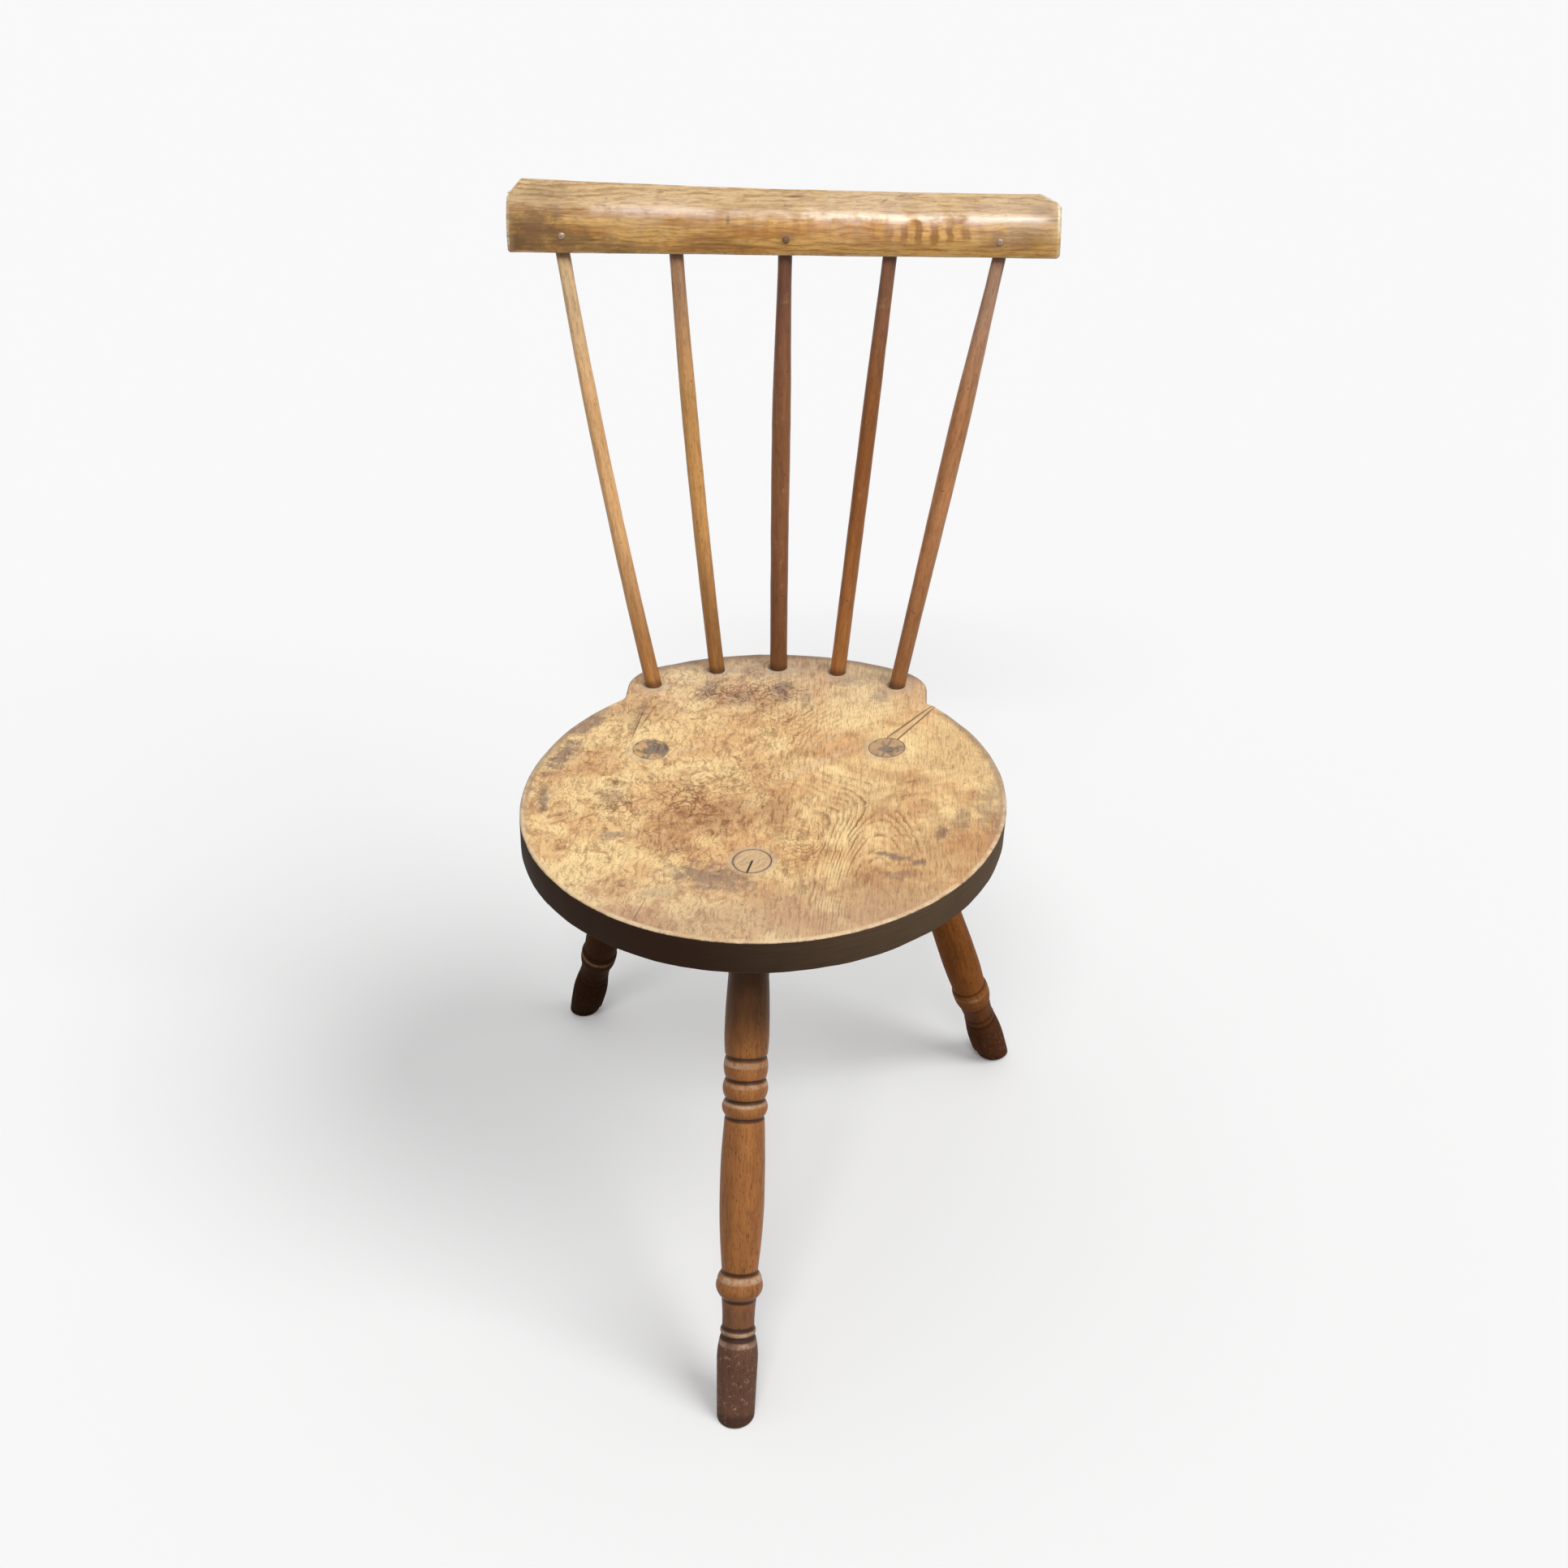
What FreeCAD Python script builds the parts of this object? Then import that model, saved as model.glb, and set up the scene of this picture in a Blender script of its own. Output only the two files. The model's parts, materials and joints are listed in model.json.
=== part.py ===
import FreeCAD, Part
import math
import os
import Sketcher
from FreeCAD import Vector

# Stick-back side chair: a round plank seat on three turned legs, five spindles and a half-round crest rail.
# Origin on the floor under the centre of the round seat, +Z up, front towards -Y, +X to the right as seen
# from the front. Millimetres and degrees.

# Driving dimensions
SIZES = {
    # Seat plank: a disc with a tail behind that carries the spindles
    "seat_height": 408,
    "seat_thickness": 28.2,
    "seat_radius": 190,
    "seat_middle_y": -3,
    "seat_edge_drift": -1.5,
    "seat_edge_round": 2,
    "tail_radius": 226,
    "tail_left_width": 128.6,
    "tail_right_width": 126.6,
    "tail_corner": 36,
    "notch_y": 147,
    "notch_round": 5,
    # Turned leg: heights along the leg from the front foot, and radii there
    "sole_at": -18,
    "sole_radius": 14.5,
    "foot_swell_at": 47,
    "foot_swell_radius": 16.05,
    "foot_shoulder_at": 65,
    "foot_shoulder_radius": 13.8,
    "foot_shoulder_curve": 70,
    "bead_foot_at": 67.5,
    "bead_top_at": 73.5,
    "bead_root_radius": 12.9,
    "bead_curve": 5.5,
    "neck_top_at": 98,
    "neck_top_radius": 13.9,
    "neck_curve": 260,
    "collar_rim_at": 112,
    "collar_rim_radius": 17.3,
    "collar_curve": 12,
    "vase_foot_at": 119.8,
    "vase_foot_radius": 14.2,
    "collar_top_curve": 9,
    "vase_swell_at": 181,
    "vase_swell_radius": 17.3,
    "vase_lower_curve": 605,
    "vase_top_at": 243,
    "vase_top_radius": 15.2,
    "vase_upper_curve": 916,
    "low_ring_foot_at": 246.5,
    "low_ring_top_at": 257.8,
    "low_ring_curve": 12,
    "mid_ring_foot_at": 260,
    "mid_ring_top_at": 274,
    "mid_ring_curve": 20,
    "high_ring_foot_at": 276,
    "high_ring_top_at": 291.8,
    "high_ring_curve": 36,
    "ring_root_radius": 16.1,
    "taper_foot_at": 294,
    "taper_foot_radius": 16.4,
    "taper_foot_curve": 190,
    "taper_swell_at": 310,
    "taper_swell_radius": 17.1,
    "taper_curve": 570,
    "tenon_root_at": 354,
    "tenon_root_radius": 15.4,
    "tenon_end_at": 470,
    "tenon_end_radius": 13.8,
    # Where the rear legs' turning is softer than the front leg's
    "rear_sole_radius": 13.2,
    "rear_foot_swell_at": 30,
    "rear_foot_swell_radius": 15.8,
    "rear_foot_shoulder_radius": 14.3,
    "rear_foot_shoulder_curve": 200,
    "rear_bead_root_radius": 13.6,
    "rear_bead_curve": 12,
    "rear_neck_top_at": 94,
    "rear_neck_top_radius": 14.6,
    "rear_collar_rim_at": 108,
    "rear_collar_rim_radius": 16.5,
    "rear_collar_curve": 40,
    "rear_collar_top_curve": 20,
    "rear_vase_foot_radius": 15.2,
    "rear_vase_swell_at": 166,
    "rear_vase_swell_radius": 16.1,
    "rear_vase_top_radius": 14.2,
    "rear_vase_upper_curve": 3000,
    # Where each leg stands, where its tenon shows on the seat and how far its turning sits down the leg
    "front_leg_foot_x": -10.6,
    "front_leg_foot_y": -264.4,
    "front_leg_tenon_x": -1.6,
    "front_leg_tenon_y": -92.3,
    "front_leg_drop": 0,
    "front_leg_wedge_turn": 8,
    "rear_left_leg_foot_x": -203,
    "rear_left_leg_foot_y": 229.8,
    "rear_left_leg_tenon_x": -96.6,
    "rear_left_leg_tenon_y": 62.7,
    "rear_left_leg_drop": -4,
    "rear_left_leg_wedge_turn": 40,
    "rear_right_leg_foot_x": 197.8,
    "rear_right_leg_foot_y": 182.5,
    "rear_right_leg_tenon_x": 94.9,
    "rear_right_leg_tenon_y": 73.3,
    "rear_right_leg_drop": 8,
    "rear_right_leg_wedge_turn": -30,
    # Wedges driven into the tenons
    "leg_wedge_head": 1.8,
    "leg_wedge_tip": 0.6,
    "leg_wedge_depth": 24,
    "spindle_wedge_head": 2.2,
    "spindle_wedge_tip": 0.6,
    "spindle_wedge_depth": 18,
    # Crest rail: one half-round section at each end and one in the middle
    "crest_axis_y": 263,
    "crest_bottom_z": 753.4,
    "crest_lean": 12,
    "crest_slant": 0.31,
    "crest_left_end": -217.5,
    "crest_middle": 3,
    "crest_right_end": 223,
    "crest_left_height": 57.2,
    "crest_middle_height": 50.2,
    "crest_right_height": 48.4,
    "crest_front": 12,
    "crest_back": 12,
    "crest_ridge": 2,
    "crest_back_drop": 1,
    "crest_front_curve": 45,
    "left_corner_run": 11,
    "left_corner_drop": 13.5,
    "right_corner_run": 17,
    "right_corner_drop": 9,
    # Spindles: place on the seat, place under the crest rail, and radii at the foot, the swell and the neck
    "spindle_swell_part": 0.6,
    "spindle_straight": 4,
    "spindle_head_depth": 32,
    "spindle_tail": 46,
    "left_outer_spindle_foot_x": -106.9,
    "left_outer_spindle_foot_y": 168.4,
    "left_outer_spindle_head_x": -174.9,
    "left_outer_spindle_foot_radius": 6.8,
    "left_outer_spindle_swell_radius": 6.3,
    "left_outer_spindle_neck_radius": 5.7,
    "left_inner_spindle_foot_x": -54.8,
    "left_inner_spindle_foot_y": 195.1,
    "left_inner_spindle_head_x": -82.8,
    "left_inner_spindle_foot_radius": 6.5,
    "left_inner_spindle_swell_radius": 6.7,
    "left_inner_spindle_neck_radius": 5.7,
    "centre_spindle_foot_x": -2,
    "centre_spindle_foot_y": 202.6,
    "centre_spindle_head_x": 4.9,
    "centre_spindle_foot_radius": 7.3,
    "centre_spindle_swell_radius": 7.8,
    "centre_spindle_neck_radius": 5.7,
    "right_inner_spindle_foot_x": 49.7,
    "right_inner_spindle_foot_y": 195.8,
    "right_inner_spindle_head_x": 88.9,
    "right_inner_spindle_foot_radius": 6.6,
    "right_inner_spindle_swell_radius": 6.7,
    "right_inner_spindle_neck_radius": 5.7,
    "right_outer_spindle_foot_x": 101.1,
    "right_outer_spindle_foot_y": 174.5,
    "right_outer_spindle_head_x": 176,
    "right_outer_spindle_foot_radius": 6.6,
    "right_outer_spindle_swell_radius": 7.9,
    "right_outer_spindle_neck_radius": 5.4,
    # Nails through the crest rail
    "left_crest_pin_x": -173,
    "left_crest_pin_up": 13.7,
    "centre_crest_pin_x": 6.5,
    "centre_crest_pin_up": 12.6,
    "right_crest_pin_x": 175.5,
    "right_crest_pin_up": 12.6,
    "pin_seat_depth": 14.4,
    "pin_shank_radius": 1.3,
    "pin_shank_length": 21,
    "pin_point_length": 4,
    "pin_head_radius": 2.9,
    "pin_head_rim": 0.5,
    "pin_head_curve": 4.2,
    # Strip let into the seat, tapering from the rear right tenon to the notch in the seat's edge
    "patch_x": 93.8,
    "patch_y": 79.3,
    "patch_turn": 58,
    "patch_length": 80,
    "patch_wide_end": 9.6,
    "patch_narrow_end": 2.4,
    "patch_depth": 12,
}

LEGS = ("front_leg", "rear_left_leg", "rear_right_leg")
SPINDLES = (
    "left_outer_spindle",
    "left_inner_spindle",
    "centre_spindle",
    "right_inner_spindle",
    "right_outer_spindle",
)
PINNED_SPINDLES = {
    "left_crest_pin": "left_outer_spindle",
    "centre_crest_pin": "centre_spindle",
    "right_crest_pin": "right_outer_spindle",
}
ROOM = 1200

doc = FreeCAD.newDocument("Chair")


class Size:
    """A number from the sheet, or worked out from it, with the words that bind a dimension to it."""

    def __init__(self, value, words):
        self.value = value
        self.words = words

    def join(self, other, sign, value):
        return Size(value, f"({self.words} {sign} {size(other).words})")

    def __add__(self, other):
        return self.join(other, "+", self.value + size(other).value)

    def __sub__(self, other):
        return self.join(other, "-", self.value - size(other).value)

    def __mul__(self, other):
        return self.join(other, "*", self.value * size(other).value)

    def __truediv__(self, other):
        return self.join(other, "/", self.value / size(other).value)

    def __neg__(self):
        return Size(-self.value, f"(-1 * {self.words})")


def size(what):
    """The size under that name in the sheet; a bare number or a ready Size passes through."""
    if isinstance(what, Size):
        return what
    if isinstance(what, str):
        return Size(SIZES[what], f"Sizes.{what}")
    return Size(what, f"{what}")


def other_side(hypotenuse, side):
    """The second short side of a right-angled triangle."""
    value = math.sqrt(hypotenuse.value**2 - side.value**2)
    return Size(value, f"sqrt({hypotenuse.words} * {hypotenuse.words} - {side.words} * {side.words})")


def distance(across, along):
    """The long side of a right-angled triangle."""
    return Size(math.hypot(across.value, along.value), f"hypot({across.words}; {along.words})")


def write_sheet():
    sheet = doc.addObject("Spreadsheet::Sheet", "Sizes")
    for row, (alias, value) in enumerate(SIZES.items(), start=1):
        sheet.set(f"A{row}", str(value))
        sheet.setAlias(f"A{row}", alias)
    doc.recompute()


def bind(thing, **sizes):
    """Binds properties of an object to sizes, by name."""
    for name, value in sizes.items():
        thing.setExpression(name, size(value).words)


def place_words(x, y, z, turn):
    """Words for a placement; turn is the words of a rotation."""
    return f"placement(vector({size(x).words}; {size(y).words}; {size(z).words}); {turn})"


def about(axis, angle):
    """Words for a turn about an axis, such as 0; 0; 1."""
    return f"rotation(vector({axis}); {size(angle).words})"


def leaning(foot, head):
    """Words for a placement at foot whose own +Z points at head."""
    across, along, up = (b - a for a, b in zip(foot, head))
    turn = f"atan2({along.words}; {across.words})"
    lean = f"atan2({distance(across, along).words}; {up.words})"
    return place_words(*foot, f"rotation({turn}; {lean}; 0)")


def moved_along(place, step, turn=about("0; 0; 1", 0)):
    """Words for a placement slid along its own +Z, then turned there."""
    return f"{place} * {place_words(0, 0, step, turn)}"


def new_body(name):
    return doc.addObject("PartDesign::Body", name)


def plane_of(body, role):
    return next(feature for feature in body.Origin.OriginFeatures if feature.Role == role)


def arc_through(start, end, radius):
    """An arc that leaves the outline outwards from start to end, or inwards if the radius is negative."""
    first, last = (start, end) if radius > 0 else (end, start)
    chord = last - first
    half = chord.Length / 2
    to_centre = Vector(-chord.y, chord.x, 0).normalize() * math.sqrt(radius**2 - half**2)
    centre = first + chord * 0.5 + to_centre
    angles = [math.atan2(point.y - centre.y, point.x - centre.x) for point in (first, last)]
    circle = Part.Circle(centre, Vector(0, 0, 1), abs(radius))
    return Part.ArcOfCircle(circle, *angles)


def hold(sketch, edge, end, axis, value):
    """Holds one coordinate of an edge's end at a size from the sketch's origin."""
    if value.value == 0:
        axis_line = -2 if axis == "X" else -1
        sketch.addConstraint(Sketcher.Constraint("PointOnObject", edge, end, axis_line))
        return
    if value.value > 0:
        ends = (-1, 1, edge, end)
    else:
        ends = (edge, end, -1, 1)
        value = -value
    number = sketch.addConstraint(Sketcher.Constraint(f"Distance{axis}", *ends, value.value))
    sketch.setExpression(f"Constraints[{number}]", value.words)


def outline(body, name, role, corners, curves=None):
    """A closed sketch, counter-clockwise through the corners.

    curves gives the radius of the edge that follows a corner, negative where it is hollow.
    """
    curves = {corner: size(radius) for corner, radius in (curves or {}).items()}
    corners = [(size(x), size(y)) for x, y in corners]
    points = [Vector(x.value, y.value, 0) for x, y in corners]
    sketch = body.newObject("Sketcher::SketchObject", name)
    sketch.AttachmentSupport = [(plane_of(body, role), "")]
    sketch.MapMode = "FlatFace"
    count = len(points)
    tails = []
    for edge in range(count):
        start, end = points[edge], points[(edge + 1) % count]
        hollow = edge in curves and curves[edge].value < 0
        if edge in curves:
            sketch.addGeometry(arc_through(start, end, curves[edge].value))
        else:
            sketch.addGeometry(Part.LineSegment(start, end))
        tails.append((2, 1) if hollow else (1, 2))
    for edge in range(count):
        following = (edge + 1) % count
        joint = (edge, tails[edge][1], following, tails[following][0])
        sketch.addConstraint(Sketcher.Constraint("Coincident", *joint))
        hold(sketch, edge, tails[edge][0], "X", corners[edge][0])
        hold(sketch, edge, tails[edge][0], "Y", corners[edge][1])
    for edge, radius in curves.items():
        radius = -radius if radius.value < 0 else radius
        number = sketch.addConstraint(Sketcher.Constraint("Radius", edge, radius.value))
        sketch.setExpression(f"Constraints[{number}]", radius.words)
    return sketch


def turned(name, stations, place):
    """A body turned about its own Z from a list of (height, radius, curve of the next stretch)."""
    body = new_body(name)
    heights = [size(station[0]) for station in stations]
    corners = [(0, heights[0])]
    curves = {}
    for height, station in zip(heights, stations):
        if len(station) == 3:
            curves[len(corners)] = station[2]
        corners.append((station[1], height))
    corners.append((0, heights[-1]))
    sketch = outline(body, f"{name}_profile", "XZ_Plane", corners, curves)
    revolution = body.newObject("PartDesign::Revolution", f"{name}_revolution")
    revolution.Profile = sketch
    revolution.ReferenceAxis = (sketch, ["V_Axis"])
    revolution.Angle = 360
    body.setExpression("Placement", place)
    return body


def padded(body, name, sketch, length, down=False, both_ways=False):
    pad = body.newObject("PartDesign::Pad", name)
    pad.Profile = sketch
    bind(pad, Length=length)
    pad.Reversed = down
    pad.Midplane = both_ways
    return pad


def cut(name, base, *tools):
    """The base with the tools taken away."""
    tool = tools[0]
    if len(tools) > 1:
        tool = doc.addObject("Part::MultiFuse", f"{name}_tools")
        tool.Shapes = list(tools)
    result = doc.addObject("Part::Cut", name)
    result.Base = base
    result.Tool = tool
    return result


def shared(name, *things):
    """What the things have in common."""
    result = doc.addObject("Part::MultiCommon", name)
    result.Shapes = list(things)
    return result


def slab(name, low, high):
    """A wide block between two heights, to trim pieces flush."""
    box = doc.addObject("Part::Box", name)
    box.Length = ROOM
    box.Width = ROOM
    bind(box, Height=size(high) - low)
    box.setExpression("Placement", place_words(-ROOM / 2, -ROOM / 2, low, about("0; 0; 1", 0)))
    return box


def wedge(name, width, head, tip, depth, over, place):
    """A wedge with its head at the placement's origin, its tip along +Z and some waste over the head."""
    prism = doc.addObject("Part::Wedge", name)
    head, tip, depth, over = (size(value) for value in (head, tip, depth, over))
    thick = head + (head - tip) * over / depth
    bind(prism, Xmin=-size(width) / 2, Xmax=size(width) / 2, X2min=-size(width) / 2, X2max=size(width) / 2)
    bind(prism, Zmin=-thick / 2, Zmax=thick / 2, Z2min=-tip / 2, Z2max=tip / 2)
    bind(prism, Ymin=-over, Ymax=depth)
    prism.setExpression("Placement", f"{place} * {place_words(0, 0, 0, about('1; 0; 0', 90))}")
    return prism


def tail_side(width):
    """Corners down one side of the tail, from the notch to its back, as if on the right."""
    corner = size("tail_corner")
    tail = size("tail_radius")
    corner_x = width - corner
    corner_y = other_side(tail - corner, corner_x)
    reach = tail / (tail - corner)
    return [(width, size("notch_y")), (width, corner_y), (corner_x * reach, corner_y * reach)]


def shoulder_curve(width):
    """Radius of the seat's edge from its widest place back to the notch."""
    run = size("seat_radius") - width
    rise = size("notch_y") - "seat_middle_y"
    return (run * run + rise * rise) / (run * 2)


def seat_blank():
    """The plank before its sockets: a disc with a tail, its sawn edge leaning a little to the left."""
    body = new_body("seat_blank")
    radius = size("seat_radius")
    middle = size("seat_middle_y")
    left_width = size("tail_left_width")
    right_width = size("tail_right_width")
    corner = size("tail_corner")
    right = [(radius, middle), *tail_side(right_width)]
    left = [(-x, y) for x, y in [*reversed(tail_side(left_width)), (radius, middle)]]
    corners = [(0, middle - radius), *right, *left]
    curves = {
        0: radius,
        1: shoulder_curve(right_width),
        3: corner,
        4: "tail_radius",
        5: corner,
        7: shoulder_curve(left_width),
        8: radius,
    }
    sketch = outline(body, "seat_outline", "XY_Plane", corners, curves)
    pad = padded(body, "seat_plank", sketch, "seat_thickness")
    pad.UseCustomVector = True
    pad.AlongSketchNormal = True
    bind(pad, **{"Direction.x": "seat_edge_drift", "Direction.y": 0, "Direction.z": -size("seat_thickness")})
    doc.recompute()
    notches = [edge_name(pad, edge) for edge in upright_edges(pad) if is_notch(edge)]
    hollow = body.newObject("PartDesign::Fillet", "notch_rounds")
    hollow.Base = (pad, notches)
    bind(hollow, Radius="notch_round")
    doc.recompute()
    rims = [edge_name(hollow, edge) for edge in hollow.Shape.Edges if edge.BoundBox.ZLength < 0.01]
    rounds = body.newObject("PartDesign::Fillet", "rim_rounds")
    rounds.Base = (hollow, rims)
    bind(rounds, Radius="seat_edge_round")
    body.setExpression("Placement", place_words(0, 0, "seat_height", about("0; 0; 1", 0)))
    return body


def edge_name(feature, edge):
    number = next(i for i, other in enumerate(feature.Shape.Edges, start=1) if other.isSame(edge))
    return f"Edge{number}"


def upright_edges(feature):
    return [edge for edge in feature.Shape.Edges if edge.BoundBox.ZLength > SIZES["seat_thickness"] / 2]


def is_notch(edge):
    """True for the hollow corners where the tail leaves the disc."""
    top = max((vertex.Point for vertex in edge.Vertexes), key=lambda point: point.z)
    width = SIZES["tail_right_width"] if top.x > 0 else SIZES["tail_left_width"]
    return abs(abs(top.x) - width) < 1 and abs(top.y - SIZES["notch_y"]) < 1


def leg_turning(leg):
    """Stations of a turned leg from the sole to the end of its tenon; a rear leg has some sizes of its own."""
    rear = leg.startswith("rear")

    def own(name):
        return f"rear_{name}" if rear and f"rear_{name}" in SIZES else name

    ring = "ring_root_radius"
    return [
        ("sole_at", own("sole_radius")),
        (own("foot_swell_at"), own("foot_swell_radius"), own("foot_shoulder_curve")),
        ("foot_shoulder_at", own("foot_shoulder_radius")),
        ("bead_foot_at", own("bead_root_radius"), own("bead_curve")),
        ("bead_top_at", own("bead_root_radius"), -size("neck_curve")),
        (own("neck_top_at"), own("neck_top_radius"), own("collar_curve")),
        (own("collar_rim_at"), own("collar_rim_radius"), own("collar_top_curve")),
        ("vase_foot_at", own("vase_foot_radius"), "vase_lower_curve"),
        (own("vase_swell_at"), own("vase_swell_radius"), own("vase_upper_curve")),
        ("vase_top_at", own("vase_top_radius")),
        ("low_ring_foot_at", ring, "low_ring_curve"),
        ("low_ring_top_at", ring),
        ("mid_ring_foot_at", ring, "mid_ring_curve"),
        ("mid_ring_top_at", ring),
        ("high_ring_foot_at", ring, "high_ring_curve"),
        ("high_ring_top_at", ring),
        ("taper_foot_at", "taper_foot_radius", "taper_foot_curve"),
        ("taper_swell_at", "taper_swell_radius", "taper_curve"),
        ("tenon_root_at", "tenon_root_radius"),
        ("tenon_end_at", "tenon_end_radius"),
    ]


def leg_with_wedge(name, standing_room):
    """A leg trimmed at the floor and the seat top, its wedge, and the tapered tool that bores its socket."""
    foot = (size(f"{name}_foot_x"), size(f"{name}_foot_y"), size(0))
    tenon = (size(f"{name}_tenon_x"), size(f"{name}_tenon_y"), size("seat_height"))
    axis = leaning(foot, tenon)
    length = distance(distance(tenon[0] - foot[0], tenon[1] - foot[1]), tenon[2])
    dropped = -size(f"{name}_drop")
    turning = turned(f"{name}_turning", leg_turning(name), moved_along(axis, dropped))
    bore = doc.addObject("Part::Cone", f"{name}_bore")
    bind(bore, Radius1="tenon_root_radius", Radius2="tenon_end_radius")
    bind(bore, Height=size("tenon_end_at") - "tenon_root_at")
    bore.setExpression("Placement", moved_along(axis, dropped + "tenon_root_at"))
    # The wedge points down the leg, so its frame is turned over before it is turned to its kerf.
    over = moved_along(axis, length, about("1; 0; 0", 180))
    prism = wedge(
        f"{name}_wedge_prism",
        size("tenon_root_radius") * 2,
        "leg_wedge_head",
        "leg_wedge_tip",
        "leg_wedge_depth",
        "tenon_end_radius",
        moved_along(over, 0, about("0; 0; 1", f"{name}_wedge_turn")),
    )
    leg = cut(name, shared(f"{name}_trimmed", turning, standing_room), prism)
    leg_wedge = shared(f"{name}_wedge", prism, bore, standing_room)
    return leg, leg_wedge, bore


def spindle_axis(name):
    foot = (size(f"{name}_foot_x"), size(f"{name}_foot_y"), size("seat_height"))
    head = (size(f"{name}_head_x"), size("crest_axis_y"), size("crest_bottom_z"))
    across, along, up = (b - a for a, b in zip(foot, head))
    return leaning(foot, head), distance(distance(across, along), up)


def socket(name, radius, height, place):
    cylinder = doc.addObject("Part::Cylinder", name)
    bind(cylinder, Radius=radius, Height=height)
    cylinder.setExpression("Placement", place)
    return cylinder


def spindle_with_wedge(name, above_underside, pin):
    """A spindle trimmed under the seat, its wedge from beneath, and the tools for its two sockets."""
    axis, length = spindle_axis(name)
    foot_radius = f"{name}_foot_radius"
    neck_radius = f"{name}_neck_radius"
    tail = -size("spindle_tail")
    neck_at = length - "spindle_straight"
    head_at = length + "spindle_head_depth"
    stations = [
        (tail, foot_radius),
        ("spindle_straight", foot_radius),
        (length * "spindle_swell_part", f"{name}_swell_radius"),
        (neck_at, neck_radius),
        (head_at, neck_radius),
    ]
    stick = turned(f"{name}_stick", stations, axis)
    foot_socket = socket(
        f"{name}_foot_socket", foot_radius, size("spindle_straight") - tail, moved_along(axis, tail)
    )
    head_socket = socket(f"{name}_head_socket", neck_radius, head_at - neck_at, moved_along(axis, neck_at))
    rise = size("crest_bottom_z") - "seat_height"
    underside = -size("seat_thickness") * length / rise
    prism = wedge(
        f"{name}_wedge_prism",
        size(foot_radius) * 2,
        "spindle_wedge_head",
        "spindle_wedge_tip",
        "spindle_wedge_depth",
        foot_radius,
        moved_along(axis, underside),
    )
    trimmed = shared(f"{name}_trimmed", stick, above_underside)
    spindle = cut(name, trimmed, prism, pin) if pin else cut(name, trimmed, prism)
    spindle_wedge = shared(f"{name}_wedge", prism, foot_socket, above_underside)
    return spindle, spindle_wedge, foot_socket, head_socket


def crest_place():
    tilt = f"rotation(0; {size('crest_slant').words}; {(-size('crest_lean')).words})"
    return place_words(0, "crest_axis_y", "crest_bottom_z", tilt)


def crest_blank():
    """The rail before its sockets: half-round in front, flat behind and beneath, its top corners sawn off."""
    body = new_body("crest_blank")
    sections = []
    for part, end in (("left", "left_end"), ("middle", "middle"), ("right", "right_end")):
        height = size(f"crest_{part}_height")
        corners = [
            (-size("crest_front"), 0),
            ("crest_back", 0),
            ("crest_back", height - "crest_back_drop"),
            ("crest_ridge", height),
        ]
        section = outline(body, f"crest_{part}_section", "YZ_Plane", corners, {3: "crest_front_curve"})
        section.setExpression("AttachmentOffset.Base.z", f"Sizes.crest_{end}")
        sections.append(section)
    rail = body.newObject("PartDesign::AdditiveLoft", "crest_rail_loft")
    rail.Profile = sections[0]
    rail.Sections = sections[1:]
    body.setExpression("Placement", crest_place())
    doc.recompute()
    left = crest_corner(body, "left", -1)
    right = crest_corner(body, "right", 1)
    body.Tip = right
    check_removed(rail, left)
    check_removed(left, right)
    return body


def crest_corner(body, part, side):
    """Saws off one top corner of the rail, seen from the front."""
    end = size(f"crest_{part}_end")
    height = size(f"crest_{part}_height")
    inner = end - size(f"{part}_corner_run") * side
    low = height - f"{part}_corner_drop"
    spare = size("crest_front") * side
    outer_high = (end + spare, height + "crest_front")
    corners = [(inner, height), (end, low), (end + spare, low), outer_high, (inner, height + "crest_front")]
    if side < 0:
        corners.reverse()
    sketch = outline(body, f"{part}_corner_outline", "XZ_Plane", corners)
    pocket = body.newObject("PartDesign::Pocket", f"{part}_corner_cut")
    pocket.Profile = sketch
    pocket.Type = "ThroughAll"
    pocket.Midplane = True
    doc.recompute()
    return pocket


def check_removed(before, after):
    if after.Shape.Volume >= before.Shape.Volume:
        raise RuntimeError(f"{after.Label} cut nothing")


def crest_pin(name):
    """A nail with a domed head, driven square into the front of the crest rail."""
    square = about("1; 0; 0", 90)
    at_head = place_words(f"{name}_x", -size("pin_seat_depth"), f"{name}_up", square)
    stations = [
        (-size("pin_shank_length") - "pin_point_length", 0.2),
        (-size("pin_shank_length"), "pin_shank_radius"),
        (0, "pin_shank_radius"),
        (0, "pin_head_radius"),
        ("pin_head_rim", "pin_head_radius", "pin_head_curve"),
        (size("pin_head_rim") * 3, 0.2),
    ]
    return turned(name, stations, f"{crest_place()} * {at_head}")


def patch_prism():
    """The strip's full prism, before it is trimmed by the tenon and the seat's edge."""
    body = new_body("patch_prism")
    wide = size("patch_wide_end") / 2
    narrow = size("patch_narrow_end") / 2
    corners = [(0, -wide), ("patch_length", -narrow), ("patch_length", narrow), (0, wide)]
    sketch = outline(body, "patch_outline", "XY_Plane", corners)
    padded(body, "patch_pad", sketch, "patch_depth", down=True)
    turn = about("0; 0; 1", "patch_turn")
    body.setExpression("Placement", place_words("patch_x", "patch_y", "seat_height", turn))
    return body


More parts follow.
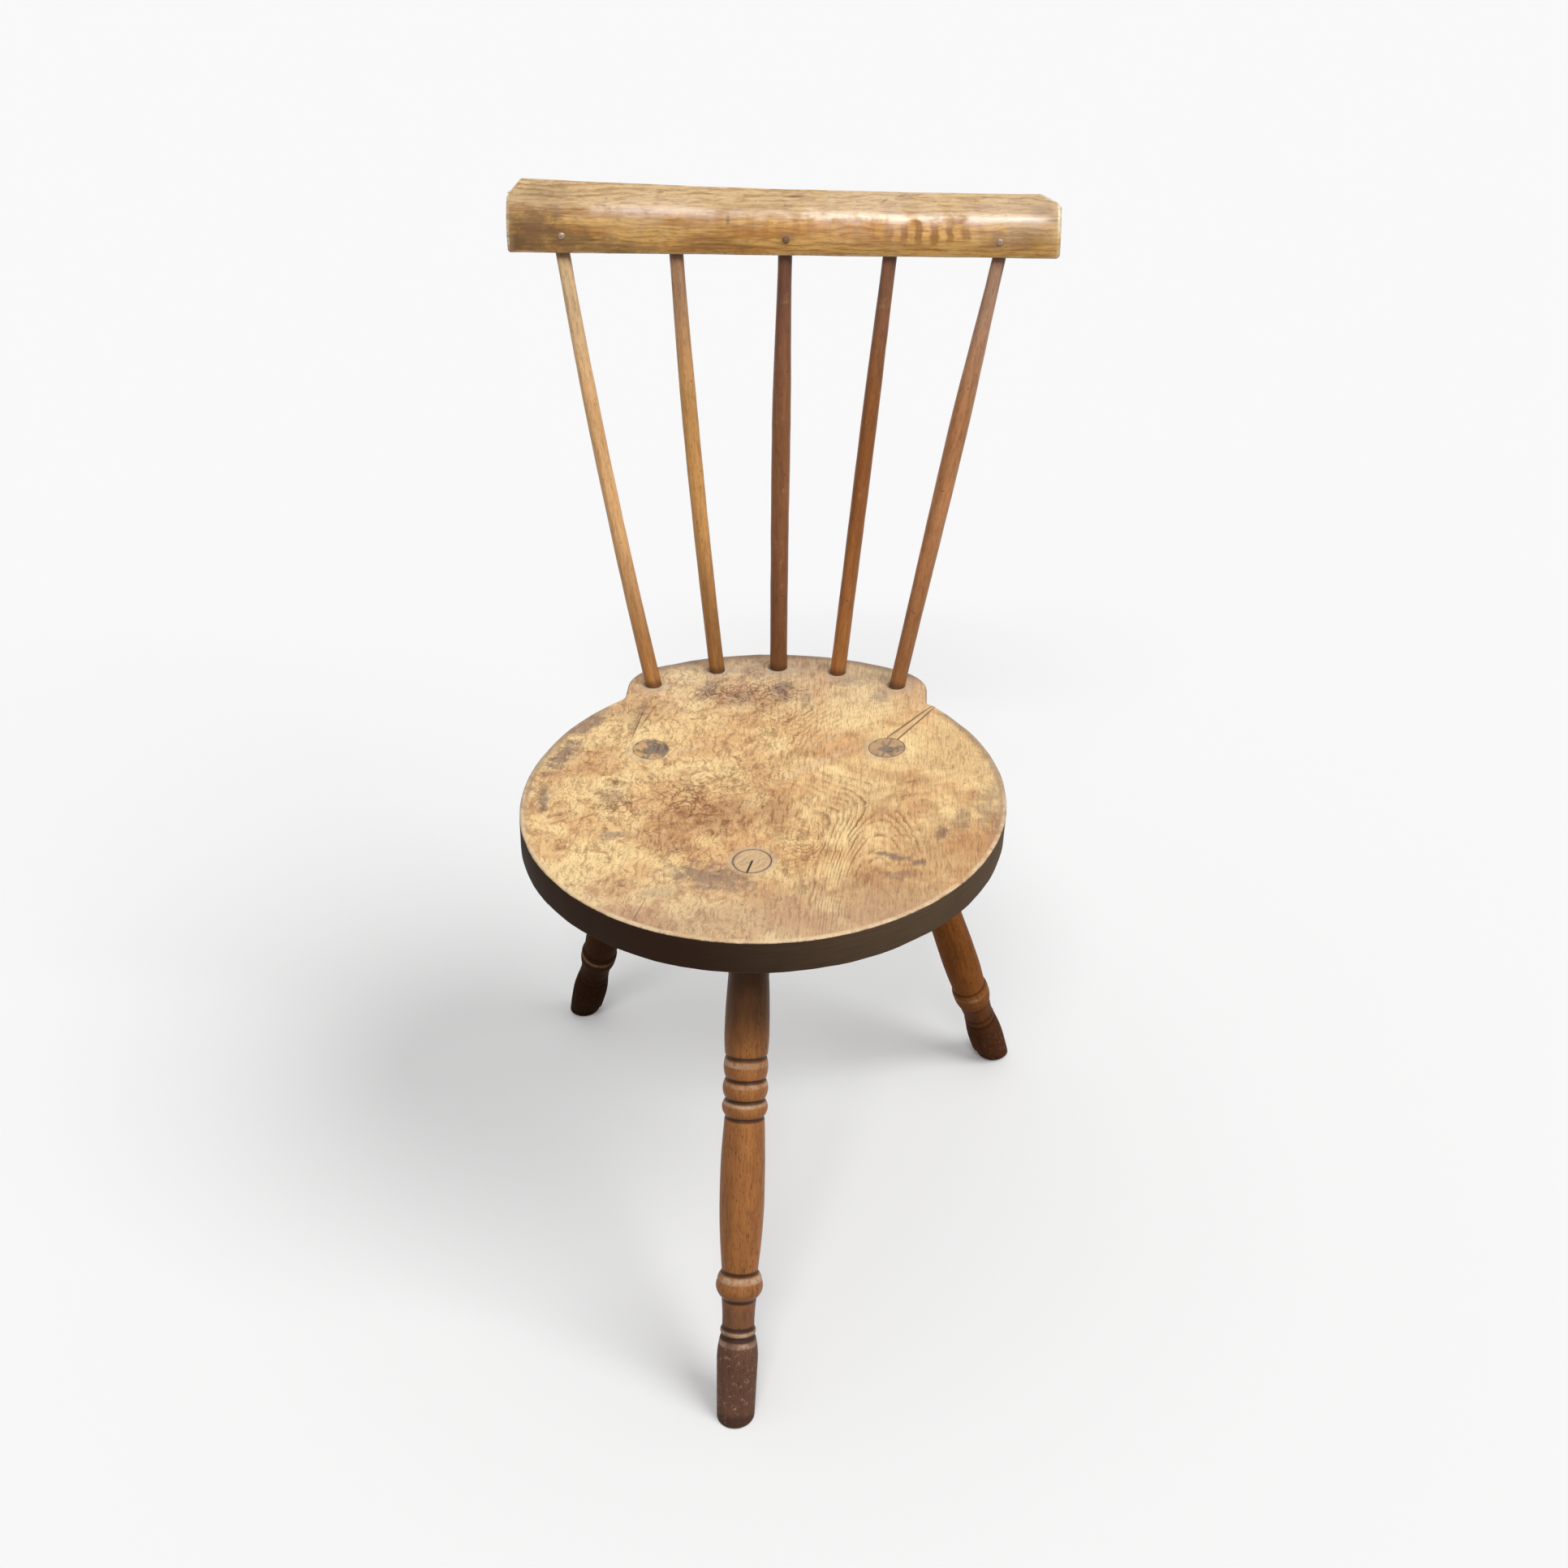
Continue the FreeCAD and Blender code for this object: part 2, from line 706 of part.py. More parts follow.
def build():
    """Makes every piece and returns the ones that are handed over, by label."""
    write_sheet()
    underside = size("seat_height") - "seat_thickness"
    standing_room = slab("standing_room", 0, "seat_height")
    above_underside = slab("above_underside", underside, ROOM)
    pieces = []
    pins = {}
    for pin_name, spindle_name in PINNED_SPINDLES.items():
        pins[spindle_name] = crest_pin(pin_name)
        pieces.append(pins[spindle_name])
    seat_tools = []
    crest_tools = list(pins.values())
    leg_bores = {}
    for name in LEGS:
        leg, leg_wedge, leg_bores[name] = leg_with_wedge(name, standing_room)
        seat_tools.append(leg_bores[name])
        pieces += [leg, leg_wedge]
    for name in SPINDLES:
        result = spindle_with_wedge(name, above_underside, pins.get(name))
        spindle, spindle_wedge, foot_socket, head_socket = result
        seat_tools.append(foot_socket)
        crest_tools.append(head_socket)
        pieces += [spindle, spindle_wedge]
    blank = seat_blank()
    strip = patch_prism()
    seat_patch = cut("seat_patch", shared("strip_in_seat", strip, blank), leg_bores["rear_right_leg"])
    seat = cut("seat", blank, strip, *seat_tools)
    crest_rail = cut("crest_rail", crest_blank(), *crest_tools)
    pieces += [seat, seat_patch, crest_rail]
    doc.recompute()
    return pieces


def check(pieces):
    for thing in doc.Objects:
        if "Invalid" in thing.State or "Error" in thing.State:
            raise RuntimeError(f"{thing.Label} failed: {thing.State}")
    for piece in pieces:
        shape = piece.Shape
        if shape.isNull() or not shape.isValid():
            raise RuntimeError(f"{piece.Label} has no valid shape")
        if len(shape.Solids) != 1:
            raise RuntimeError(f"{piece.Label} has {len(shape.Solids)} solids")


def write_parts(pieces):
    os.makedirs("parts", exist_ok=True)
    for piece in pieces:
        piece.Shape.exportStep(f"parts/{piece.Label}.step")
        print(f"{piece.Label}: {piece.Shape.Volume / 1000:.2f} cm3")


chair = build()
check(chair)
write_parts(chair)
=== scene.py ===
"""Windsor side chair: a three-legged country stick-back chair, modelled and finished round its frame."""

import json
import math
from contextlib import contextmanager
from typing import NamedTuple

import bmesh
import bpy
from bpy.props import FloatProperty, FloatVectorProperty, PointerProperty
from mathutils import Euler, Matrix, Vector


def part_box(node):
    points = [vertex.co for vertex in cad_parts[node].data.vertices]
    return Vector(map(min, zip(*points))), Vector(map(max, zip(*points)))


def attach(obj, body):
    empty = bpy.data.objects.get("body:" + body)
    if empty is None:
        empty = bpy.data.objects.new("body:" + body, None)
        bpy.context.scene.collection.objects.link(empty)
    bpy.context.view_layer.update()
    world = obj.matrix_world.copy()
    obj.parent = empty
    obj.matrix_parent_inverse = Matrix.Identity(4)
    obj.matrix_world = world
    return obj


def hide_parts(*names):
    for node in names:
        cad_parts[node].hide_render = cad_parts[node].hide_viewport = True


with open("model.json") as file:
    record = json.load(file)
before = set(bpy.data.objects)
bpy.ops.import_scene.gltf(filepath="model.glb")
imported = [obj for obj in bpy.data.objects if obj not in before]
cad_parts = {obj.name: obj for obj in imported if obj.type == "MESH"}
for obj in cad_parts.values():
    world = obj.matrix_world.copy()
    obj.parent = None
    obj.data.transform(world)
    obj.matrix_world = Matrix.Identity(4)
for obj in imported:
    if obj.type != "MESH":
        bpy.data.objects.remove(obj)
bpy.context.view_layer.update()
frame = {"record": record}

bl_info = {
    "name": "Windsor Side Chair",
    "version": (1, 0, 0),
    "blender": (4, 5, 0),
    "location": "View3D > Sidebar > Chair",
    "description": "Models the pieces of a three-legged stick-back chair and gives them their old finish",
    "category": "Add Mesh",
}

MM = 0.001
SEAT_LOW, SEAT_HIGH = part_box("seat")
SEAT_TOP = SEAT_HIGH.z
SEAT_UNDER = SEAT_LOW.z
SEAT_THICK = SEAT_TOP - SEAT_UNDER
SEAT_LEVEL = (SEAT_TOP + SEAT_UNDER) / 2
FEET = {mount["name"]: Vector(mount["pos_m"]) for mount in frame["record"]["mounts"]}
CHAIR_AXES = Matrix()


class Station(NamedTuple):
    """A place along a turned leg in millimetres: height, radius, and how far the stretch above it swells."""

    height: float
    radius: float
    swell: float = 0.0


# Rings and tapered tenon above the lower turning, alike on all three legs
UPPER_TURNING = (
    Station(244.6, 14.6),
    Station(246.3, 15.6, 1.9),
    Station(257.4, 15.7),
    Station(258.9, 14.7),
    Station(260.4, 15.8, 1.6),
    Station(273.4, 15.9),
    Station(275, 14.8),
    Station(276.6, 15.9, 1.1),
    Station(291, 16.0),
    Station(292.7, 15.2),
    Station(294.4, 16.4, 0.2),
    Station(310, 17.1, 0.43),
    Station(354, 15.4),
    Station(470, 13.8),
)
TENON_ROOT, TENON_END = UPPER_TURNING[-2:]
RING_GROOVES = (244.6, 258.9, 275.0, 292.7)
RING_EDGES = ((256.2, 2.2), (271.8, 2.6), (288, 3))


class Turning(NamedTuple):
    """A leg's shape, the heights of its dirty grooves, and its rubbed edges, painted paler partly as painted
    highlight, as heights and reaches.
    """

    stations: tuple
    grooves: tuple
    edges: tuple


FRONT_TURNING = Turning(
    (
        Station(-18, 14.3),
        Station(47, 16.1, 0.6),
        Station(65, 13.9),
        Station(67.3, 12.6),
        Station(68, 12.9, 0.95),
        Station(73.2, 12.9),
        Station(74, 12.5, -0.3),
        Station(97.5, 13.5),
        Station(98.5, 14.0, 2.3),
        Station(112, 17.4, 0.9),
        Station(119.6, 14.0, 0.8),
        Station(181, 17.3, 0.55),
        Station(242.4, 15.4),
        *UPPER_TURNING,
    ),
    (66.6, 74.4, 97.6, 120.2, *RING_GROOVES),
    ((115.5, 3.6), (70.8, 2.2), (62, 3), *RING_EDGES),
)
REAR_TURNING = Turning(
    (
        Station(-18, 13.2, 0.3),
        Station(30, 15.8, 0.75),
        Station(65, 14.3),
        Station(67, 13.6),
        Station(68, 13.6, 0.4),
        Station(73, 13.6),
        Station(74.4, 13.3, -0.2),
        Station(93, 14.3),
        Station(94, 14.6, 0.65),
        Station(108, 16.5, 0.8),
        Station(119.6, 15.0, 0.5),
        Station(166, 16.1, 0.25),
        Station(242.4, 14.3),
        *UPPER_TURNING,
    ),
    (66.6, 74.4, 93.4, 119.8, *RING_GROOVES),
    ((112.5, 3.2), *RING_EDGES),
)


class Leg(NamedTuple):
    """A leg: its tenon's place, its turning and how far it is let down, its wedge's turn, its colours at the
    tenon's end and the foot, the foot's rounding, and how scuffed it is, from 0 to 1."""

    name: str
    tenon: tuple
    turning: Turning
    drop: float
    wedge_turn: float
    end: tuple
    foot: tuple
    rounding: float
    scuffed: float


LEGS = (
    Leg("front", (-1.6, -92.3), FRONT_TURNING, 0, 8, (222, 188, 146), (108, 74, 58), 5, 1.0),
    # The rear left leg's foot colour is dark partly as painted shade, for the seat's shadow
    Leg("rear_left", (-96.6, 62.7), REAR_TURNING, -4, 40, (148, 130, 112), (54, 33, 20), 8, 0.1),
    Leg("rear_right", (94.9, 73.3), REAR_TURNING, 8, -30, (152, 134, 116), (84, 48, 27), 8, 0.3),
)
STRIP_LEG = LEGS[2]
# Thickness of a wedge at its head and at its tip, and its length, in millimetres
LEG_WEDGE = (1.8, 0.6, 24)
STICK_WEDGE = (2.2, 0.6, 18)


class Stick(NamedTuple):
    """A spindle: foot on the seat, head under the rail, radii, bow to the left, colours at foot and head."""

    name: str
    foot: tuple
    head: float
    foot_radius: float
    swell_radius: float
    neck_radius: float
    bow: float
    low: tuple
    top: tuple


STICKS = (
    Stick("left_outer", (-106.9, 168.4), -174.9, 6.8, 6.3, 5.7, 3.0, (176, 122, 68), (240, 204, 156)),
    Stick("left_inner", (-54.8, 195.1), -82.8, 6.5, 6.7, 5.7, 2.0, (154, 106, 58), (192, 148, 112)),
    Stick("centre", (-2.0, 202.6), 4.9, 7.3, 7.8, 5.7, 1.0, (124, 80, 46), (126, 82, 60)),
    Stick("right_inner", (49.7, 195.8), 88.9, 6.6, 6.7, 5.7, 0.0, (172, 114, 60), (144, 98, 70)),
    Stick("right_outer", (101.1, 174.5), 176.0, 6.6, 7.9, 5.4, 0.0, (156, 104, 60), (190, 148, 122)),
)
# How far up a spindle is thickest, as a share, and how far it goes into the seat and into the crest rail
STICK_SWELL_AT = 0.6
STICK_TAIL = 46
STICK_HEAD = 32
STICK_RINGS = 28


class Nail(NamedTuple):
    """A nail in the crest rail: how far along the rail and up it, and how rusty it is, from 0 to 1."""

    name: str
    along: float
    up: float
    rusty: float


NAILS = (
    Nail("left", -173, 13.7, 0.3),
    Nail("centre", 6.5, 12.6, 0.9),
    Nail("right", 175.5, 12.6, 0.35),
)
NAILED_STICKS = dict(zip(("left_outer", "centre", "right_outer"), NAILS))


def linear(red, green, blue):
    """A colour seen on a screen, 0 to 255, as the light that it stands for."""
    parts = (red / 255, green / 255, blue / 255)
    return tuple(c / 12.92 if c <= 0.04045 else ((c + 0.055) / 1.055) ** 2.4 for c in parts)


def length(name, description, millimetres):
    """A length that the user can change, with its default given in millimetres."""
    default = millimetres * MM
    return FloatProperty(name=name, description=description, default=default, unit="LENGTH", precision=4)


def number(name, description, default):
    """A plain number that the user can change."""
    return FloatProperty(name=name, description=description, default=default)


def angle(name, description, degrees):
    """An angle that the user can change, with its default given in degrees."""
    default = math.radians(degrees)
    return FloatProperty(name=name, description=description, default=default, subtype="ANGLE")


def tint(name, description, red, green, blue):
    """A colour that the user can change, with its default as a screen shows it."""
    default = linear(red, green, blue)
    return FloatVectorProperty(
        name=name, description=description, default=default, size=3, min=0, max=1, subtype="COLOR"
    )


class SeatSettings(bpy.types.PropertyGroup):
    """Sizes and colours of the plank seat."""

    radius: length("Radius", "Half the width of the round seat", 190)
    middle: length("Middle", "Where the seat is widest, front to back", -3)
    back_stretch: number("Back Stretch", "How much longer the back half is than a half circle", 1.059)
    drift: length("Edge Drift", "How far the sawn edge leans to the left on its way down", 1.5)
    rim: length("Rim", "Rounding of the worn rim", 2)
    tail_radius: length("Tail Radius", "How far the tail reaches back", 226)
    tail_left: length("Tail Left", "Half width of the tail on its left", 128.6)
    tail_right: length("Tail Right", "Half width of the tail on its right", 126.6)
    tail_corner: length("Tail Corner", "Rounding of the tail's back corners", 36)
    joint_gap: length("Joint Gap", "Open joint round each tenon and beside the strip", 0.45)
    honey: tint("Honey", "Palest wood of the seat", 250, 216, 158)
    amber: tint("Amber", "Common colour of the seat", 232, 186, 132)
    brown: tint("Brown", "Darker patches of the seat", 182, 127, 86)
    umber: tint("Umber", "Grain lines and pores", 128, 82, 50)
    stain: tint("Stain", "Old grey stains", 142, 118, 104)
    edge: tint("Edge", "Dirty sawn edge of the plank", 46, 27, 14)
    # Edge Right: the sawn edge painted lighter on the right, as painted light from that side
    edge_right: tint("Edge Right", "Sawn edge on the right, less dirty", 90, 72, 54)
    halo: tint("Halo", "Pale scrubbed wood round the joints", 206, 184, 160)
    under: tint("Underside", "Bare wood beneath", 128, 92, 60)
    worn: tint("Worn Rim", "Rubbed rim at the front", 236, 206, 168)


class StripSettings(bpy.types.PropertyGroup):
    """Sizes of the tapered strip let into the seat."""

    start_x: length("Start X", "Where the strip starts, across the seat", 93.8)
    start_y: length("Start Y", "Where the strip starts, front to back", 79.3)
    turn: angle("Turn", "Direction of the strip", 58)
    reach: length("Length", "Length of the strip before it is trimmed", 80)
    wide: length("Wide End", "Width by the tenon", 9.6)
    narrow: length("Narrow End", "Width past the seat's edge", 2.4)
    depth: length("Depth", "Thickness of the strip", 12)


class CrestSettings(bpy.types.PropertyGroup):
    """Sizes and colours of the half-round crest rail."""

    axis_y: length("Axis Y", "Where the spindles meet the rail, front to back", 263)
    bottom: length("Bottom", "Height of the rail's underside", 753.4)
    lean: angle("Lean", "How far the top leans back", 12)
    slant: angle("Slant", "How far the right end sinks", 0.31)
    left_end: length("Left End", "Left end of the rail", -217.5)
    middle: length("Middle", "Where the middle height is taken", 3)
    right_end: length("Right End", "Right end of the rail", 223)
    left_height: length("Left Height", "Height at the left end", 57.2)
    middle_height: length("Middle Height", "Height in the middle", 50.2)
    right_height: length("Right Height", "Height at the right end", 48.4)
    front: length("Front", "Depth in front of the spindles", 12)
    back: length("Back", "Depth behind the spindles", 12)
    ridge: length("Ridge", "Where the top ridge lies behind the spindles", 2)
    back_drop: length("Back Drop", "Fall of the top towards the back", 1)
    front_curve: length("Front Curve", "Radius of the rounded front", 45)
    left_run: length("Left Corner Run", "Length of the left sawn corner", 11)
    left_drop: length("Left Corner Drop", "Height of the left sawn corner", 13.5)
    right_run: length("Right Corner Run", "Length of the right sawn corner", 17)
    right_drop: length("Right Corner Drop", "Height of the right sawn corner", 9)
    gold: tint("Gold", "Common colour of the rail", 232, 184, 110)
    # Straw is laid over the upper part of the rail as painted light, where it faces up; the sawn ends use it
    # too
    straw: tint("Straw", "Paler top of the rail", 230, 196, 146)
    toffee: tint("Toffee", "Darker streaks", 190, 132, 68)
    bar: tint("Bars", "Dark bars of the cross figure", 150, 94, 40)
    stain: tint("Stain", "Grey stain at the ends", 106, 81, 59)
    cream: tint("Cream", "Rubbed ends and arrises", 246, 226, 190)


class StickSettings(bpy.types.PropertyGroup):
    """Colours of the five spindles."""

    left_outer: tint("Left Outer", "Colour of the left outer spindle", 234, 184, 128)
    left_inner: tint("Left Inner", "Colour of the left inner spindle", 214, 160, 96)
    centre: tint("Centre", "Colour of the centre spindle", 144, 94, 58)
    right_inner: tint("Right Inner", "Colour of the right inner spindle", 150, 92, 42)
    right_outer: tint("Right Outer", "Colour of the right outer spindle", 188, 130, 84)
    dark: tint("Dark", "Grain and dirt of the spindles", 66, 40, 24)
    rubbed: tint("Rubbed", "Pale flecks where the polish is gone", 216, 176, 130)


class LegSettings(bpy.types.PropertyGroup):
    """Colours of the turned legs."""

    front: tint("Front", "Colour of the front leg", 180, 118, 67)
    # The rear left leg's colour is dark partly as painted shade, for the seat's shadow over it
    rear_left: tint("Rear Left", "Colour of the rear left leg", 72, 42, 22)
    rear_right: tint("Rear Right", "Colour of the rear right leg", 156, 94, 42)
    # Rubbed is worn wood and scuffs, and also the painted highlight on the turnings' upper edges
    rubbed: tint("Rubbed", "Rubbed edges of the turnings", 206, 176, 146)
    grime: tint("Grime", "Dirt in the grooves", 40, 26, 18)


class NailSettings(bpy.types.PropertyGroup):
    """Sizes and colour of the nails in the crest rail."""

    seat: length("Seat", "How far in front of the spindles a head sits", 14.4)
    shank: length("Shank", "Length of a nail", 25)
    shank_radius: length("Shank Radius", "Half the thickness of a nail", 1.3)
    head_radius: length("Head Radius", "Half the width of a head", 2.9)
    head_height: length("Head Height", "Height of a domed head", 1.5)
    iron: tint("Iron", "Rubbed iron", 172, 150, 130)
    rust: tint("Rust", "Rusty iron", 122, 86, 62)


class StageSettings(bpy.types.PropertyGroup):
    """Floor, light and camera."""

    floor: tint("Floor", "Pale floor", 253, 253, 253)
    sky: number("Sky", "Strength of the soft light overhead", 0.595)
    horizon: number("Horizon", "Strength of the soft light from all round", 0.12)
    front_lamp: number("Front Lamp", "Strength of the lamp in front", 0.5)
    left_lamp: number("Left Lamp", "Strength of the lamp left of the front", 0.35)
    side_lamp: number("Side Lamp", "Strength of the lamp on the right", 1.4)
    lens: number("Lens", "Focal length of the camera in millimetres", 47.39)


class ChairSettings(bpy.types.PropertyGroup):
    """Everything that can be changed on the chair."""

    seat: PointerProperty(type=SeatSettings)
    strip: PointerProperty(type=StripSettings)
    crest: PointerProperty(type=CrestSettings)
    sticks: PointerProperty(type=StickSettings)
    legs: PointerProperty(type=LegSettings)
    nails: PointerProperty(type=NailSettings)
    stage: PointerProperty(type=StageSettings)


def settings():
    return bpy.context.scene.chair


# Work at the bench: selecting, sawing, turning and joining

ROUND_SIDES = 72
STICK_SIDES = 28
NAIL_SIDES = 24
WELD = 0.005 * MM
SMOOTH_ANGLE = math.radians(38)
FLAT_ANGLE = math.radians(0.3)


def take_up(*pieces):
    """Selects these objects alone and makes the first of them active."""
    bpy.ops.object.select_all(action="DESELECT")
    for piece in pieces:
        piece.select_set(True)
    bpy.context.view_layer.objects.active = pieces[0]


@contextmanager
def editing(piece):
    """Edit mode on one piece."""
    take_up(piece)
    bpy.ops.object.mode_set(mode="EDIT")
    yield
    bpy.ops.object.mode_set(mode="OBJECT")


def choose(kind, test):
    """In edit mode, selects only the faces, edges or vertices that pass a test."""
    bpy.ops.mesh.select_mode(type=kind)
    select_all("DESELECT")
    data = bpy.context.edit_object.data
    mesh = bmesh.from_edit_mesh(data)
    parts = {"VERT": mesh.verts, "EDGE": mesh.edges, "FACE": mesh.faces}[kind]
    chosen = [part for part in parts if test(part)]
    if not chosen:
        raise RuntimeError(f"{bpy.context.edit_object.name}: nothing to select")
    for part in chosen:
        part.select_set(True)
    mesh.select_flush_mode()
    bmesh.update_edit_mesh(data)


def select_all(action="SELECT"):
    bpy.ops.mesh.select_all(action=action)


def round_over(radius, segments):
    """In edit mode, rounds the selected edges; the radius is in millimetres."""
    bpy.ops.mesh.bevel(offset=radius * MM, segments=segments, affect="EDGES")


def named(name):
    """Names the active object and puts its place into its mesh."""
    piece = bpy.context.object
    piece.name = name
    bpy.ops.object.transform_apply(location=True, rotation=True, scale=True)
    return piece


def set_at(piece, place):
    """Moves a piece made at the origin to its place in the chair."""
    take_up(piece)
    piece.matrix_world = place
    return named(piece.name)


def saw(point, normal):
    """In edit mode, saws off all that lies in front of a plane and closes the cut."""
    select_all()
    square = Vector(normal).normalized()
    bpy.ops.mesh.bisect(plane_co=point, plane_no=square, use_fill=True, clear_outer=True)


def score(point, normal):
    """In edit mode, runs an edge round the piece along a plane."""
    select_all()
    bpy.ops.mesh.bisect(plane_co=point, plane_no=normal)


def modify(piece, kind, **values):
    """Adds a modifier, sets it and applies it."""
    take_up(piece)
    bpy.ops.object.modifier_add(type=kind)
    modifier = piece.modifiers[-1]
    for name, value in values.items():
        setattr(modifier, name, value)
    bpy.ops.object.modifier_apply(modifier=modifier.name)


def carve(piece, tool, operation="DIFFERENCE"):
    """Cuts a tool out of a piece, or joins them or keeps what they share, and throws the tool away."""
    modify(piece, "BOOLEAN", operation=operation, solver="EXACT", object=tool)
    bpy.data.meshes.remove(tool.data)
    if not piece.data.polygons:
        raise RuntimeError(f"{piece.name}: nothing is left after {operation}")


def ease(piece, width, degrees, segments=2):
    """Rounds the edges that are sharper than an angle."""
    limit = math.radians(degrees)
    modify(piece, "BEVEL", width=width, segments=segments, limit_method="ANGLE", angle_limit=limit)


def roughen(piece, strength, grain, group=""):
    """Gives a surface the small unevenness of hand work; its strength and grain are in millimetres."""
    texture = bpy.data.textures.new(f"{piece.name}_unevenness", "CLOUDS")
    texture.noise_scale = grain * MM
    texture.noise_depth = 2
    modify(
        piece, "DISPLACE", texture=texture, texture_coords="LOCAL", strength=strength * MM, vertex_group=group
    )


def copy_of(piece, name):
    """A copy of a piece with its own mesh."""
    take_up(piece)
    bpy.ops.object.duplicate(linked=False)
    twin = bpy.context.object
    twin.name = name
    return twin


def lathe(name, rings, sides):
    """A round piece drawn up ring by ring from below; a ring is (sideways, height, radius) in millimetres."""
    rings = [[value * MM for value in ring] for ring in rings]
    side, height, radius = rings[0]
    bpy.ops.mesh.primitive_circle_add(
        vertices=sides, radius=radius, fill_type="NGON", location=(side, 0, height)
    )
    piece = named(name)
    with editing(piece):
        bpy.ops.mesh.select_mode(type="FACE")
        select_all()
        for next_side, next_height, next_radius in rings[1:]:
            step = (next_side - side, 0, next_height - height)
            bpy.ops.mesh.extrude_region_move(TRANSFORM_OT_translate={"value": step})
            grow = next_radius / radius
            bpy.ops.transform.resize(value=(grow, grow, 1), center_override=(next_side, 0, next_height))
            side, height, radius = next_side, next_height, next_radius
        select_all()
        bpy.ops.mesh.normals_make_consistent(inside=False)
    return piece


def tapered_tool(name, low, high, place):
    """A boring tool along a place's Z axis; each end is (height, radius) in metres."""
    bpy.ops.mesh.primitive_cone_add(
        vertices=ROUND_SIDES,
        radius1=low[1],
        radius2=high[1],
        depth=high[0] - low[0],
        location=(0, 0, (low[0] + high[0]) / 2),
    )
    return set_at(named(name), place)


def wedge_prism(name, width, head, tip, depth, place):
    """A wedge with its head at a place's origin, its tip down the Z axis and waste on top, in millimetres."""
    over = width / 2
    thick = head + (head - tip) * over / depth
    bpy.ops.mesh.primitive_cube_add(
        size=1,
        location=(0, 0, (over - depth) / 2 * MM),
        scale=(width * MM, tip * MM, (over + depth) * MM),
    )
    piece = named(name)
    with editing(piece):
        choose("FACE", lambda face: face.normal.z > 0.9)
        bpy.ops.transform.resize(value=(1, thick / tip, 1), center_override=(0, 0, over * MM))
    return set_at(piece, place)


def finish_piece(piece, node, finish):
    """Turns the faces outwards, smooths them, gives the piece its finish and puts it in place of its node."""
    with editing(piece):
        select_all()
        bpy.ops.mesh.remove_doubles(threshold=WELD)
        bpy.ops.mesh.dissolve_degenerate(threshold=WELD)
        bpy.ops.mesh.normals_make_consistent(inside=False)
    bpy.ops.object.shade_smooth_by_angle(angle=SMOOTH_ANGLE)
    piece.data.materials.clear()
    piece.data.materials.append(finish)
    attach(piece, "root")
    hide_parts(node)


def leaning(foot, head):
    """The place of a piece that stands on one point and points at another."""
    run = head - foot
    turn = math.atan2(run.y, run.x)
    lean = math.atan2(math.hypot(run.x, run.y), run.z)
    return Matrix.Translation(foot) @ Euler((0, lean, turn)).to_matrix().to_4x4()


def lift(height):
    return Matrix.Translation((0, 0, height))


def spun(axis, turn):
    return Matrix.Rotation(turn, 4, axis)


# Places of the legs, the spindles, the strip, the crest rail and the nails

def leg_ends(leg):
    x, y = leg.tenon
    return FEET[f"{leg.name}_foot"], Vector((x * MM, y * MM, SEAT_TOP))


def leg_place(leg):
    """The place of a leg's turning, let down the leg by its drop."""
    return leaning(*leg_ends(leg)) @ lift(-leg.drop * MM)


def leg_bore(leg, gap):
    low = (TENON_ROOT.height * MM, TENON_ROOT.radius * MM + gap)
    high = (TENON_END.height * MM, TENON_END.radius * MM + gap)
    return tapered_tool(f"{leg.name}_bore", low, high, leg_place(leg))


def leg_wedge_prism(leg, name):
    foot, tenon = leg_ends(leg)
    turn = spun("Z", math.radians(-leg.wedge_turn))
    place = leaning(foot, tenon) @ lift((tenon - foot).length) @ turn
    return wedge_prism(name, TENON_ROOT.radius * 2 + 1, *LEG_WEDGE, place)


def stick_ends(stick):
    crest = settings().crest
    foot = Vector((stick.foot[0] * MM, stick.foot[1] * MM, SEAT_TOP))
    return foot, Vector((stick.head * MM, crest.axis_y, crest.bottom))


def stick_wedge_prism(stick, name):
    foot, head = stick_ends(stick)
    under = (SEAT_UNDER - SEAT_TOP) * (head - foot).length / (head.z - foot.z)
    place = leaning(foot, head) @ lift(under) @ spun("X", math.pi)
    return wedge_prism(name, stick.foot_radius * 2 - 0.4, *STICK_WEDGE, place)


def strip_place():
    strip = settings().strip
    return Matrix.Translation((strip.start_x, strip.start_y, SEAT_TOP)) @ spun("Z", strip.turn)


def crest_place():
    crest = settings().crest
    tilt = Euler((-crest.lean, crest.slant, 0)).to_matrix().to_4x4()
    return Matrix.Translation((0, crest.axis_y, crest.bottom)) @ tilt


def nail_place(nail):
    seat = settings().nails.seat
    return crest_place() @ Matrix.Translation((nail.along * MM, -seat, nail.up * MM)) @ spun("X", math.pi / 2)


def nail_bore(nail):
    nails = settings().nails
    wide = nails.shank_radius + 0.05 * MM
    ends = (-nails.shank, wide), (nails.head_height, wide)
    return tapered_tool(f"{nail.name}_nail_bore", *ends, nail_place(nail))


# Shader work: short ways to add nodes, and the effects that several finishes share

